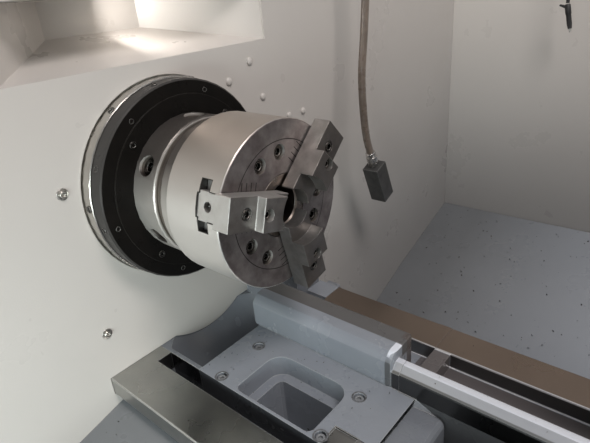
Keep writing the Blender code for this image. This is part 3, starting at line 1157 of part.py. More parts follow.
def make_pendant():
    body = block("control_panel", (PENDANT_LEFT, PENDANT_FRONT, PENDANT_BOTTOM),
                 (PENDANT_RIGHT, PENDANT_REAR, PENDANT_TOP), 0.008, 1)
    pin_x, pin_y = PENDANT_PIN
    extend(body, block("web", (PENDANT_RIGHT - 0.01, pin_y - 0.006, SLEEVE_BOTTOM),
                       (pin_x, pin_y + 0.006, SLEEVE_TOP)),
           rod("sleeve", SLEEVE_RADIUS, (pin_x, pin_y, SLEEVE_BOTTOM), (pin_x, pin_y, SLEEVE_TOP), 24))
    deep = PENDANT_FRONT + SCREEN_RECESS
    button_hole = PENDANT_FRONT + 0.030
    dial_hole = PENDANT_FRONT + 0.020
    cut(body, rod("pin_bore", bore(PENDANT_PIN_RADIUS, 20), (pin_x, pin_y, SLEEVE_BOTTOM - 0.01),
                  (pin_x, pin_y, SLEEVE_TOP + 0.01), 20),
        block("screen_seat", (SCREEN_LEFT, PENDANT_FRONT - 0.01, SCREEN_BOTTOM),
              (SCREEN_RIGHT, deep, SCREEN_TOP)),
        rod("button_hole", bore(0.010, 24), (BUTTON_X, PENDANT_FRONT - 0.01, BUTTON_Z),
            (BUTTON_X, button_hole, BUTTON_Z), 24),
        rod("dial_hole", bore(0.006, 24), (DIAL_X, PENDANT_FRONT - 0.01, DIAL_Z),
            (DIAL_X, dial_hole, DIAL_Z), 24))
    part(body, "grey")
    part(block("screen", (SCREEN_LEFT + GAP, deep - 0.003, SCREEN_BOTTOM + GAP),
               (SCREEN_RIGHT - GAP, deep - GAP, SCREEN_TOP - GAP)), "black")
    head = 0.017
    top = -FRONT_REACH
    under = top + head
    stem = button_hole - BUTTON_TRAVEL - 0.001
    part(turned("emergency_button", (
        (0, stem), (0.010, stem), (0.010, under), (BUTTON_RADIUS - 0.003, under),
        (BUTTON_RADIUS, under - 0.003), (BUTTON_RADIUS, top + 0.006), (BUTTON_RADIUS - 0.005, top + 0.001),
        (0, top)), "Y", (BUTTON_X, 0, BUTTON_Z), 20), "red")
    knob = PENDANT_FRONT - GAP
    part(turned("hand_dial", (
        (0, dial_hole - 0.001), (0.006, dial_hole - 0.001), (0.006, knob), (DIAL_RADIUS, knob),
        (DIAL_RADIUS, knob - 0.012), (DIAL_RADIUS - 0.003, knob - 0.016), (0, knob - 0.016)),
        "Y", (DIAL_X, 0, DIAL_Z), 28), "black")


def make_cabinet():
    right = PARTITION_FACE - SHEET - GAP - GAP
    part(open_box("cabinet", (LEFT_END, CABINET_FRONT, FLOOR), (right, BACK_FACE, TOP), ("+Y",), SHEET),
         "cream")
    rear = BACK_FACE + GAP
    part(block("cabinet_door", (LEFT_END + 0.001, rear, FLOOR + 0.05),
               (right - 0.001, rear + CABINET_DOOR, TOP - 0.03), 0.002), "cream")
    tank = block("coolant_tank", (TANK_LEFT, TANK_FRONT, FLOOR),
                 (TANK_RIGHT, REAR_REACH, BACK_BOTTOM - GAP), 0.006, 2)
    part(tank, "grey")


def make_hoses():
    part(tube("coolant_hose", smooth_route(HOSE_ROUTE, 0.022), HOSE_RADIUS), "rubber")
    lean = math.radians(HOSE_LEAN)
    along = Vector((0, math.sin(lean), -math.cos(lean)))
    top = Vector(HOSE_ROUTE[-1]) + along * (2 * GAP)
    neck = top + along * FITTING_LENGTH
    bottom = neck + along * BLOCK_LENGTH
    hanging = block("hose_block", (-BLOCK_SIDE / 2, -BLOCK_SIDE / 2, 0),
                    (BLOCK_SIDE / 2, BLOCK_SIDE / 2, BLOCK_LENGTH), 0.002)
    hanging.location = ORIGIN + (neck + bottom) / 2
    hanging.rotation_euler = (lean, 0, 0)
    extend(hanging, rod("fitting", FITTING_RADIUS, top, neck + along * 0.002, 20),
           rod("nub", 0.004, bottom - along * 0.002, bottom + along * 0.008, 12))
    part(hanging, "black")
    part(tube("air_hose", smooth_route(AIR_HOSE_ROUTE, 0.018), AIR_HOSE_RADIUS), "rubber")
    lowered = NOZZLE_RADIUS * abs(NOZZLE_LEAN[0] / NOZZLE_LEAN[2]) + GAP
    hung = Vector(AIR_HOSE_ROUTE[-1]) + Vector((0, 0, -lowered))
    nozzle_end = hung + Vector(NOZZLE_LEAN)
    nozzle = rod("air_nozzle", NOZZLE_RADIUS, hung, nozzle_end, 16, NOZZLE_RADIUS * 0.8)
    extend(nozzle, rod("tip", 0.0028, nozzle_end - Vector(NOZZLE_LEAN) * 0.1,
                       nozzle_end + Vector(NOZZLE_LEAN) * 0.14, 12),
           block("trigger", hung + Vector((-0.018, -0.003, -0.014)), hung + Vector((0.0, 0.003, -0.006)), 0.001))
    part(nozzle, "black")


make_chuck()
make_jaws()
make_spindle()
make_drive()
make_headstock()
make_bed()
make_bridge()
make_pedestals()
make_carriage()
make_tailstock()
make_partition()
make_enclosure()
make_door()
make_pendant()
make_cabinet()
make_hoses()
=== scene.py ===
# %% [markdown]
# # A turning lathe seen from inside its enclosure
#
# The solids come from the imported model. This script sets the photograph's view, dresses the solids
# with procedural finishes and adds the small pieces that solids leave out: screws, chips, wipers,
# gaskets and keys. Lengths are in metres. The machine's own measures are taken from the centre of
# the chuck's face, so `at` moves a point from there to its place on the floor.

# %% Load the frame
import math
import random

import bmesh
import bpy
from mathutils import Matrix, Vector

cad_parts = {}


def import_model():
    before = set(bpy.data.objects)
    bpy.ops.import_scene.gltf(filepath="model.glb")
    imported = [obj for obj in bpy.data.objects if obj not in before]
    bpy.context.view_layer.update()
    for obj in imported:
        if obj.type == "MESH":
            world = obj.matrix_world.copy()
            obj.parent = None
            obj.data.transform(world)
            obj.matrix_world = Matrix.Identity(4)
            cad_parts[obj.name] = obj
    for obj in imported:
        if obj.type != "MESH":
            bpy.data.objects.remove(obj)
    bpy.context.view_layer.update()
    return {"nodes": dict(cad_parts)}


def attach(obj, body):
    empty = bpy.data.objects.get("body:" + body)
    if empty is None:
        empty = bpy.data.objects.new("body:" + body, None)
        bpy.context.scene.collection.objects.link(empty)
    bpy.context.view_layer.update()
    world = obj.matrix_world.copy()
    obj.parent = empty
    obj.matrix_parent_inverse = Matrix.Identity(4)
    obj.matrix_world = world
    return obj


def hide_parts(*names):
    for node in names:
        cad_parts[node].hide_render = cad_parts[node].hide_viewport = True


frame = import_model()
scene = bpy.context.scene
FACE = Vector((-0.20, -0.18, 1.10))
CHUCK_AXIS = tuple(FACE)
print("nodes", len(frame["nodes"]))


def at(x, y, z):
    """A point given from the centre of the chuck's face."""
    return FACE + Vector((x, y, z))


# %% [markdown]
# ## Camera
# The photographer leans in through the open door, a little above the chuck, and looks down at it
# from the tailstock side. The camera stands inside the enclosure at that place, with a lens of a
# phone's width.

# %% Camera
def photograph_camera():
    """A camera at the photographer's place, looking down at the chuck."""
    data = bpy.data.cameras.new("photograph")
    data.lens = 30.9
    data.sensor_width = 36.0
    data.clip_start = 0.02
    camera = bpy.data.objects.new("photograph", data)
    right = Vector((0.7604, 0.6443, -0.0823)).normalized()
    forward = Vector((-0.6117, 0.6677, -0.4243)).normalized()
    up = right.cross(forward)
    turn = Matrix((right, up, -forward)).transposed()
    camera.matrix_world = Matrix.Translation((0.192, -0.589, 1.342)) @ turn.to_4x4()
    scene.collection.objects.link(camera)
    scene.camera = camera
    return camera


camera = photograph_camera()
print("camera at", tuple(round(c, 3) for c in camera.location))


# %% [markdown]
# ## Small shapes
# Most of the added pieces are turned, boxed or swept. These helpers put such shapes into one mesh,
# so that a row of screws is a single piece. `spin` turns a profile about any axis, `prism` pushes a
# flat outline along one, and `slab` makes a box with softened edges.

# %% Shape helpers
def frame_of(axis):
    """Three perpendicular directions, the last along the axis."""
    w = Vector(axis).normalized()
    u = w.orthogonal().normalized()
    if abs(w.z) < 0.9:
        u = Vector((0, 0, 1)).cross(w).normalized()
    return u, w.cross(u), w


def spin(bm, centre, axis, profile, sides=24):
    """Turn (radius, height) points about an axis, and close the ends that reach it."""
    u, v, w = frame_of(axis)
    rows = []
    for radius, height in profile:
        base = Vector(centre) + w * height
        if radius < 1e-6:
            rows.append([bm.verts.new(base)])
            continue
        angles = [2 * math.pi * k / sides for k in range(sides)]
        rows.append([bm.verts.new(base + (u * math.cos(a) + v * math.sin(a)) * radius) for a in angles])
    for first, second in zip(rows, rows[1:]):
        for k in range(sides):
            loop = [first[k % len(first)], first[(k + 1) % len(first)],
                    second[(k + 1) % len(second)], second[k % len(second)]]
            loop = list(dict.fromkeys(loop))
            if len(loop) > 2:
                bm.faces.new(loop)
    return rows


def prism(bm, centre, axis, outline, start, end):
    """Push a flat outline of (u, v) points along an axis."""
    u, v, w = frame_of(axis)
    rings = [[bm.verts.new(Vector(centre) + u * a + v * b + w * height) for a, b in outline]
             for height in (start, end)]
    count = len(outline)
    for k in range(count):
        bm.faces.new((rings[0][k], rings[0][(k + 1) % count], rings[1][(k + 1) % count], rings[1][k]))
    bm.faces.new(rings[0][::-1])
    bm.faces.new(rings[1])


def slab(bm, low, high, edge=0.001, segments=1):
    """A box with softened edges."""
    low = Vector(low)
    high = Vector(high)
    made = bmesh.ops.create_cube(bm, size=1.0)
    bmesh.ops.scale(bm, vec=high - low, verts=made["verts"])
    bmesh.ops.translate(bm, vec=(low + high) / 2, verts=made["verts"])
    if edge:
        edges = list({e for v in made["verts"] for e in v.link_edges})
        bmesh.ops.bevel(bm, geom=edges, offset=edge, segments=segments, affect="EDGES", profile=0.5)


# %% [markdown]
# A cap screw is a turned head with a hexagon pressed into it. A boolean cut would leave long thin
# triangles, so the head is built ring by ring: round rings outside, and inside the same number of
# points moved onto a hexagon. `piece` then finishes a mesh and parents it to one of the machine's
# bodies, so that it rides on it.

# %% Screw and piece
def socket_screw(bm, centre, axis, head, tall, socket, deep, sides=24):
    """A cap screw's head with a hexagon socket; centre is the middle of its under side."""
    u, v, w = frame_of(axis)
    soft = head * 0.12

    def ring(radius, height, flats=False):
        """One ring of points, round or with six flats."""
        points = []
        for k in range(sides):
            angle = 2 * math.pi * k / sides
            reach = radius
            if flats:
                local = (angle + math.pi / 6) % (math.pi / 3) - math.pi / 6
                reach = radius * math.cos(math.pi / 6) / math.cos(local)
            points.append(bm.verts.new(Vector(centre) + w * height
                                       + (u * math.cos(angle) + v * math.sin(angle)) * reach))
        return points

    rows = [ring(head, 0), ring(head, tall - soft), ring(head - soft, tall), ring(socket * 1.12, tall, True),
            ring(socket, tall - socket * 0.12, True), ring(socket, tall - deep, True)]
    for first, second in zip(rows, rows[1:]):
        for k in range(sides):
            n = (k + 1) % sides
            bm.faces.new((first[k], first[n], second[n], second[k]))
    floor = bm.verts.new(Vector(centre) + w * (tall - deep * 1.15))
    for k in range(sides):
        bm.faces.new((rows[-1][k], rows[-1][(k + 1) % sides], floor))


def polar(radius, angle):
    """Distances along Y and Z of a point at a radius and an angle in degrees."""
    return radius * math.cos(math.radians(angle)), radius * math.sin(math.radians(angle))


def piece(name, bm, body, material, smooth=35.0):
    """Finish a mesh as a piece of the machine that rides on one of its bodies."""
    bmesh.ops.recalc_face_normals(bm, faces=bm.faces)
    mesh = bpy.data.meshes.new(name)
    bm.to_mesh(mesh)
    bm.free()
    mesh.shade_smooth()
    mesh.set_sharp_from_angle(angle=math.radians(smooth))
    obj = bpy.data.objects.new(name, mesh)
    scene.collection.objects.link(obj)
    mesh.materials.append(material)
    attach(obj, body)
    print(name, "faces", len(mesh.polygons), "rides on", body)
    return obj


# %% [markdown]
# The solids come as flat triangles. A turned face on the real machine is smooth, so each solid gets
# a modifier that joins its triangles and shades them smoothly up to a limit angle. The solids
# themselves stay as they are.

# %% Smooth shading
def smoothing():
    """The modifier's node group, and the name of its angle input."""
    tree = bpy.data.node_groups.new("Smooth by angle", "GeometryNodeTree")
    tree.interface.new_socket("Geometry", in_out="INPUT", socket_type="NodeSocketGeometry")
    limit = tree.interface.new_socket("Limit Angle", in_out="INPUT", socket_type="NodeSocketFloat")
    tree.interface.new_socket("Geometry", in_out="OUTPUT", socket_type="NodeSocketGeometry")
    given = tree.nodes.new("NodeGroupInput")
    out = tree.nodes.new("NodeGroupOutput")
    joined = tree.nodes.new("GeometryNodeMergeByDistance")
    joined.inputs["Distance"].default_value = 0.00001
    cleared = tree.nodes.new("GeometryNodeRemoveAttribute")
    cleared.inputs["Name"].default_value = "custom_normal"
    faces = tree.nodes.new("GeometryNodeSetShadeSmooth")
    faces.domain = "FACE"
    edges = tree.nodes.new("GeometryNodeSetShadeSmooth")
    edges.domain = "EDGE"
    edges.inputs["Shade Smooth"].default_value = False
    angle = tree.nodes.new("GeometryNodeInputMeshEdgeAngle")
    sharp = tree.nodes.new("FunctionNodeCompare")
    sharp.operation = "GREATER_THAN"
    tree.links.new(given.outputs["Limit Angle"], sharp.inputs[1])
    tree.links.new(angle.outputs["Unsigned Angle"], sharp.inputs[0])
    tree.links.new(sharp.outputs[0], edges.inputs["Selection"])
    chain = (given, joined, cleared, faces, edges, out)
    for first, second in zip(chain, chain[1:]):
        tree.links.new(first.outputs[0], second.inputs[0])
    return tree, limit.identifier


FLAT_FACED = ("bed gap_bridge headstock pedestal_left pedestal_right saddle cross_slide turret_base "
              "tailstock front_tray rear_tray partition back_panel recess_box front_panel "
              "headstock_cover right_panel "
              "cabinet cabinet_door master_jaw_1 master_jaw_2 master_jaw_3 top_jaw_1 top_jaw_2 "
              "top_jaw_3").split()
SMOOTHING, LIMIT = smoothing()
for name, solid in frame["nodes"].items():
    step = solid.modifiers.new("smooth", "NODES")
    step.node_group = SMOOTHING
    step[LIMIT] = math.radians(18 if name in FLAT_FACED else 28)
print("smoothed solids", len(frame["nodes"]))


# %% [markdown]
# ## Shader groups
# A workshop's surfaces share a few causes: a tool leaves fine parallel lines, paint dries with a
# faint orange peel, oil and coolant leave cloudy patches, and chips lie about as dark specks. Each
# cause is a node group with named sockets, and the finishes below combine them.

# %% Shader groups
def group(name, inputs, outputs):
    """An empty shader group; inputs and outputs map socket names to kinds or defaults."""
    tree = bpy.data.node_groups.new(name, "ShaderNodeTree")
    for side, sockets in (("INPUT", inputs), ("OUTPUT", outputs)):
        for label, value in sockets.items():
            kind = "NodeSocketVector" if value == "vector" else "NodeSocketFloat"
            if isinstance(value, tuple):
                kind = "NodeSocketColor" if len(value) == 4 else "NodeSocketVector"
            socket = tree.interface.new_socket(label, in_out=side, socket_type=kind)
            if value not in ("vector", None) and side == "INPUT":
                socket.default_value = value
    return tree, tree.nodes.new("NodeGroupInput"), tree.nodes.new("NodeGroupOutput")


def node(tree, kind, settings=None, **values):
    """A shader node with its settings, and its sockets set to values or linked to other sockets."""
    made = tree.nodes.new("ShaderNode" + kind)
    for key, value in (settings or {}).items():
        setattr(made, key, value)
    for key, value in values.items():
        numbered = key[0] == "i" and key[1:].isdigit()
        place = made.inputs[int(key[1:]) if numbered else key.replace("_", " ")]
        if isinstance(value, bpy.types.NodeSocket):
            tree.links.new(value, place)
        else:
            place.default_value = value
    return made


def maths(tree, operation, first, second=0.0, third=None):
    """The output of a Math node."""
    values = {"i0": first, "i1": second}
    if third is not None:
        values["i2"] = third
    return node(tree, "Math", {"operation": operation}, **values).outputs[0]


# %% [markdown]
# The five causes follow, one group each. Noise stretched along one direction gives tool lines, and
# noise over the distance from an axis gives turned rings. Cells of a Voronoi texture give specks:
# each cell draws its own chance and size. The Bevel node softens the normal at edges, and where the
# softened normal leaves the true one, the surface is an edge.

# %% Clouds, lines, rings, specks and edges
def clouds_group():
    """Soft patches between two values."""
    tree, given, out = group("Cloudy patches", {"Coordinates": "vector", "Scale": 8.0, "Low": 0.0,
                                                "High": 1.0, "Detail": 4.0}, {"Value": None})
    noise = node(tree, "TexNoise", Vector=given.outputs["Coordinates"], Scale=given.outputs["Scale"],
                 Detail=given.outputs["Detail"], Roughness=0.6)
    ranged = node(tree, "MapRange", {"interpolation_type": "SMOOTHSTEP"}, Value=noise.outputs[0],
                  From_Min=0.25, From_Max=0.75, To_Min=given.outputs["Low"], To_Max=given.outputs["High"])
    tree.links.new(ranged.outputs[0], out.inputs["Value"])
    return tree


def lines_group():
    """Fine tool lines: noise drawn out along one direction."""
    tree, given, out = group("Tool lines", {"Coordinates": "vector", "Stretch": (1.0, 1.0, 1.0),
                                            "Scale": 900.0}, {"Height": None})
    drawn = node(tree, "VectorMath", {"operation": "MULTIPLY"}, i0=given.outputs["Coordinates"],
                 i1=given.outputs["Stretch"])
    noise = node(tree, "TexNoise", Vector=drawn.outputs[0], Scale=given.outputs["Scale"], Detail=3.0,
                 Roughness=0.7)
    tree.links.new(noise.outputs[0], out.inputs["Height"])
    return tree


def turned_group():
    """Distance from an axis along X, and the rings that turning leaves on a face."""
    tree, given, out = group("Turned rings", {"Coordinates": "vector", "Axis Point": (0.0, 0.0, 0.0),
                                              "Pitch": 0.0012},
                             {"Radius": None, "Rings": None, "Unrolled": "vector"})
    moved = node(tree, "VectorMath", {"operation": "SUBTRACT"}, i0=given.outputs["Coordinates"],
                 i1=given.outputs["Axis Point"])
    split = node(tree, "SeparateXYZ", Vector=moved.outputs[0])
    flat = node(tree, "VectorMath", {"operation": "MULTIPLY"}, i0=moved.outputs[0], i1=(0.0, 1.0, 1.0))
    radius = node(tree, "VectorMath", {"operation": "LENGTH"}, i0=flat.outputs[0]).outputs["Value"]
    angle = maths(tree, "ARCTAN2", split.outputs[2], split.outputs[1])
    along = node(tree, "CombineXYZ", X=maths(tree, "MULTIPLY", angle, 0.03), Y=radius, Z=split.outputs[0])
    fineness = maths(tree, "DIVIDE", 1.0, given.outputs["Pitch"])
    noise = node(tree, "TexNoise", Vector=along.outputs[0], Scale=fineness, Detail=2.0, Roughness=0.5)
    tree.links.new(radius, out.inputs["Radius"])
    tree.links.new(noise.outputs[0], out.inputs["Rings"])
    tree.links.new(along.outputs[0], out.inputs["Unrolled"])
    return tree


def specks_group():
    """Scattered small specks, 1 on a speck and 0 elsewhere."""
    tree, given, out = group("Specks", {"Coordinates": "vector", "Scale": 60.0, "Size": 0.12, "Share": 0.25},
                             {"Mask": None})
    cells = node(tree, "TexVoronoi", Vector=given.outputs["Coordinates"], Scale=given.outputs["Scale"],
                 Randomness=1.0)
    chance = node(tree, "SeparateColor", Color=cells.outputs["Color"])
    chosen = maths(tree, "LESS_THAN", chance.outputs[0], given.outputs["Share"])
    size = maths(tree, "MULTIPLY", given.outputs["Size"], chance.outputs[1])
    near = maths(tree, "LESS_THAN", cells.outputs["Distance"], size)
    tree.links.new(maths(tree, "MULTIPLY", chosen, near), out.inputs["Mask"])
    return tree


def edges_group():
    """1 along the outer edges of a solid, for worn or bright edges."""
    tree, given, out = group("Edges", {"Width": 0.0008}, {"Mask": None, "Normal": "vector"})
    soft = node(tree, "Bevel", {"samples": 6}, Radius=given.outputs["Width"])
    place = node(tree, "NewGeometry")
    same = node(tree, "VectorMath", {"operation": "DOT_PRODUCT"}, i0=soft.outputs[0],
                i1=place.outputs["Normal"])
    mask = node(tree, "MapRange", Value=same.outputs["Value"], From_Min=0.995, From_Max=0.93, To_Min=0.0,
                To_Max=1.0)
    tree.links.new(mask.outputs[0], out.inputs["Mask"])
    tree.links.new(soft.outputs[0], out.inputs["Normal"])
    return tree


CLOUDS = clouds_group()
LINES = lines_group()
TURNED = turned_group()
SPECKS = specks_group()
EDGES = edges_group()
print("shader groups", [g.name for g in bpy.data.node_groups])


# %% [markdown]
# ## Finishes
# Each finish starts from the same few steps: object coordinates, a colour that varies a little, a
# roughness that varies in patches, and a bump whose normal is softened at the edges. Ground and
# turned steel differ in the direction of their lines, paint in its peel and its dirt.

# %% Finish builder
class Finish:
    """One material in the making, with its Principled shader and the shared groups at hand."""

    def __init__(self, name, colour, roughness, metallic=0.0, edge=0.0008):
        self.material = bpy.data.materials.new(name)
        self.material.use_nodes = True
        self.tree = self.material.node_tree
        self.shader = self.tree.nodes["Principled BSDF"]
        self.shader.inputs["Metallic"].default_value = metallic
        self.shader.inputs["Roughness"].default_value = roughness
        self.place = self.add("TexCoord").outputs["Object"]
        self.colour = (*colour, 1.0)
        self.edges = self.use(EDGES, Width=edge)
        self.height = None
        self.split_place = None
        self.split_normal = None

    def add(self, kind, settings=None, **values):
        """A shader node of this material."""
        return node(self.tree, kind, settings, **values)

    def use(self, tree, **values):
        """A shared group, with its sockets set or linked."""
        made = self.tree.nodes.new("ShaderNodeGroup")
        made.node_tree = tree
        for key, value in values.items():
            place = made.inputs[key.replace("_", " ")]
            if isinstance(value, bpy.types.NodeSocket):
                self.tree.links.new(value, place)
            else:
                place.default_value = value
        return made

    def clouds(self, scale, low, high, detail=4.0):
        """Soft patches between two values."""
        return self.use(CLOUDS, Coordinates=self.place, Scale=scale, Low=low, High=high,
                        Detail=detail).outputs["Value"]

    def tint(self, colour, mask, amount=1.0):
        """Lay another colour over the present one where the mask is set."""
        share = mask if amount == 1.0 else maths(self.tree, "MULTIPLY", mask, amount)
        mixed = self.add("Mix", {"data_type": "RGBA"}, i0=share, i6=self.colour, i7=(*colour, 1.0))
        self.colour = mixed.outputs[2]
        return self

    def rough(self, value):
        """Let the roughness vary."""
        self.tree.links.new(value, self.shader.inputs["Roughness"])
        return self

    def raise_by(self, value, distance):
        """Add a height, in metres, to the bump."""
        scaled = maths(self.tree, "MULTIPLY", value, distance)
        self.height = scaled if self.height is None else maths(self.tree, "ADD", self.height, scaled)
        return self

    def between(self, value, low, high, soft=0.0004):
        """1 where a value lies between two limits."""
        up = self.ramp(value, low - soft, low + soft)
        down = self.ramp(value, high + soft, high - soft)
        return maths(self.tree, "MULTIPLY", up, down)

    def ramp(self, value, start, end, smooth=False):
        """0 at the start value, 1 at the end value."""
        settings = {"interpolation_type": "SMOOTHSTEP"} if smooth else None
        return self.add("MapRange", settings, Value=value, From_Min=start, From_Max=end).outputs[0]

    def position(self, axis):
        """Where the surface lies along X, Y or Z."""
        if self.split_place is None:
            self.split_place = self.add("SeparateXYZ", Vector=self.place)
        return self.split_place.outputs["XYZ".index(axis)]

    def facing(self, axis):
        """How far the surface faces along X, Y or Z, from -1 to 1."""
        if self.split_normal is None:
            self.split_normal = self.add("SeparateXYZ", Vector=self.add("TexCoord").outputs["Normal"])
        return self.split_normal.outputs["XYZ".index(axis)]

    def span(self, axis, low, high):
        """1 between two distances from the chuck's face along X, Y or Z."""
        k = "XYZ".index(axis)
        return self.between(self.position(axis), at(low, low, low)[k], at(high, high, high)[k])

    def all_of(self, *masks):
        """Where all the masks are set."""
        total = masks[0]
        for mask in masks[1:]:
            total = maths(self.tree, "MULTIPLY", total, mask)
        return total

    def done(self):
        """Join colour and bump to the shader, and give back the material."""
        if self.height is not None:
            bump = self.add("Bump", Strength=1.0, Distance=1.0, Height=self.height,
                            Normal=self.edges.outputs["Normal"])
            self.tree.links.new(bump.outputs[0], self.shader.inputs["Normal"])
        else:
            self.tree.links.new(self.edges.outputs["Normal"], self.shader.inputs["Normal"])
        if isinstance(self.colour, bpy.types.NodeSocket):
            self.tree.links.new(self.colour, self.shader.inputs["Base Color"])
        else:
            self.shader.inputs["Base Color"].default_value = self.colour
        return self.material


# %% [markdown]
# Four kinds of finish cover the whole machine. Paint is not metallic and gets its peel from a fine
# noise. Ground and turned steel are metallic, and only the direction of their lines sets them
# apart. Plastic and rubber have a fine grain. Each function gives back a finish that can take more
# masks before it is done.

# %% Paint, ground steel, turned steel and plastic
def painted(name, colour, roughness=0.38, peel=0.00004, dirt=0.25, edge=0.0012, specks=0.12, coat=0.0):
    """Sprayed and baked paint: orange peel, cloudy grey marks, a few dark specks."""
    f = Finish(name, colour, roughness, edge=edge)
    darker = tuple(c * 0.72 for c in colour)
    f.tint(darker, f.clouds(3.5, 0.0, 1.0), dirt)
    f.tint(tuple(c * 0.86 for c in colour), f.clouds(21.0, 0.0, 1.0, 6.0), dirt * 0.8)
    if specks:
        mask = f.use(SPECKS, Coordinates=f.place, Scale=42.0, Size=0.10, Share=specks).outputs[0]
        f.tint((0.07, 0.065, 0.06), mask, 0.85)
    f.rough(f.clouds(9.0, roughness - 0.09, roughness + 0.10))
    f.raise_by(f.clouds(420.0, 0.0, 1.0, 1.0), peel)
    f.shader.inputs["Coat Weight"].default_value = coat
    f.shader.inputs["Coat Roughness"].default_value = 0.12
    return f


def ground(name, colour=(0.50, 0.49, 0.47), roughness=0.28, along="X", edge=0.0008, lines=0.000006,
           stain=0.3):
    """Surface-ground steel: fine lines along one direction and a film of old oil."""
    f = Finish(name, colour, roughness, 1.0, edge)
    stretch = {"X": (0.03, 1.0, 1.0), "Y": (1.0, 0.03, 1.0), "Z": (1.0, 1.0, 0.03)}[along]
    height = f.use(LINES, Coordinates=f.place, Stretch=stretch, Scale=900.0).outputs[0]
    f.raise_by(height, lines)
    f.tint(tuple(c * 0.55 for c in colour), f.clouds(26.0, 0.0, 1.0, 5.0), stain)
    f.tint((0.75, 0.74, 0.72), f.edges.outputs["Mask"], 0.5)
    f.rough(f.clouds(30.0, roughness - 0.06, roughness + 0.12, 6.0))
    return f


def turned_steel(name, colour=(0.50, 0.49, 0.47), roughness=0.25, axis=CHUCK_AXIS, rings=0.000006,
                 stain=0.25, edge=0.0008, pitch=0.0011, worn=0.45):
    """Steel turned or ground on a lathe: rings round its own axis."""
    f = Finish(name, colour, roughness, 1.0, edge)
    f.turned = f.use(TURNED, Coordinates=f.place, Axis_Point=axis, Pitch=pitch)
    f.raise_by(f.turned.outputs["Rings"], rings)
    f.tint(tuple(c * 0.5 for c in colour), f.clouds(24.0, 0.0, 1.0, 5.0), stain)
    f.tint((0.78, 0.77, 0.75), f.edges.outputs["Mask"], worn)
    f.rough(f.clouds(34.0, roughness - 0.05, roughness + 0.12, 6.0))
    return f


def plain(name, colour, roughness=0.4, metallic=0.0, grain=0.00003, edge=0.0006, scale=700.0):
    """Moulded plastic or rubber with a fine grain and a little handling wear."""
    f = Finish(name, colour, roughness, metallic, edge)
    f.tint(tuple(min(1.0, c * 1.6 + 0.01) for c in colour), f.clouds(18.0, 0.0, 1.0), 0.25)
    f.rough(f.clouds(14.0, roughness - 0.08, roughness + 0.10))
    f.raise_by(f.clouds(scale, 0.0, 1.0, 1.0), grain)
    return f


def dress(names, make):
    """Give each named node a material of its own from a maker that takes the node's name."""
    for name in names.split():
        obj = frame["nodes"][name]
        material = make(name)
        if len(obj.material_slots) == 0:
            obj.data.materials.append(material)
        for slot in obj.material_slots:
            slot.material = material
    print("dressed", names)


# %% [markdown]
# ## Hoses
# A translucent coolant hose comes through the wall above the chuck, bends down and hangs under its
# own weight with a black block on its end. A thin rubber air hose hangs at the back panel. Both are
# one smooth curve through the points that the solids follow. The coolant hose is cloudy plastic
# that has yellowed: light goes into it, so it gets some subsurface light and a clear outer skin.

# %% Hoses
HOSE_ROUTE = (
    (-0.2350, 0.3850, 0.4700),
    (-0.2000, 0.3850, 0.4700),
    (-0.1700, 0.3850, 0.4670),
    (-0.1420, 0.3858, 0.4330),
    (-0.1270, 0.3868, 0.3500),
    (-0.1260, 0.3866, 0.2500),
    (-0.1260, 0.3774, 0.1592),
    (-0.1260, 0.3683, 0.1003),
    (-0.1260, 0.3665, 0.0605),
    (-0.1260, 0.3700, 0.0100),
    (-0.1260, 0.3775, -0.0340),
    (-0.1260, 0.3885, -0.0641),
)
AIR_HOSE_ROUTE = (
    (0.0720, 0.9050, 0.4600),
    (0.0720, 0.8850, 0.4580),
    (0.0720, 0.8650, 0.4350),
    (0.0720, 0.8605, 0.3800),
    (0.0720, 0.8600, 0.3000),
    (0.0720, 0.8600, 0.2200),
    (0.0720, 0.8600, 0.1560),
)


def smooth_route(points, step):
    """Points a step apart on a smooth curve through the route's own points."""
    places = [at(*p) for p in points]
    padded = [2 * places[0] - places[1], *places, 2 * places[-1] - places[-2]]
    route = []
    for i in range(1, len(padded) - 2):
        before, start, end, after = padded[i - 1:i + 3]
        pieces = max(1, round((end - start).length / step))
        for k in range(pieces):
            t = k / pieces
            route.append(0.5 * (2 * start + (end - before) * t
                                + (2 * before - 5 * start + 4 * end - after) * t ** 2
                                + (3 * start - before - 3 * end + after) * t ** 3))
    route.append(places[-1])
    return route


def hose(name, route, radius, material):
    """A round hose along a route."""
    curve = bpy.data.curves.new(name, "CURVE")
    curve.dimensions = "3D"
    curve.bevel_depth = radius
    curve.bevel_resolution = 6
    curve.use_fill_caps = True
    spline = curve.splines.new("POLY")
    spline.points.add(len(route) - 1)
    for point, place in zip(spline.points, route):
        point.co = (*place, 1)
    spline.use_smooth = True
    obj = bpy.data.objects.new(name, curve)
    scene.collection.objects.link(obj)
    curve.materials.append(material)
    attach(obj, "machine")
    return obj


def length_of(route):
    """Length along a route's points."""
    return sum((b - a).length for a, b in zip(route, route[1:]))


coolant_route = smooth_route(HOSE_ROUTE, 0.006)
air_route = smooth_route(AIR_HOSE_ROUTE, 0.006)
print("hose lengths", round(length_of(coolant_route), 4), round(length_of(air_route), 4))


# %% [markdown]
# A poly spline with a round bevel gives the hose an even thickness, and its caps close the ends.
# The plastic needs light inside it: Subsurface Weight lets some in, and the coat gives the skin its
# sharp highlight without making the whole hose shiny.

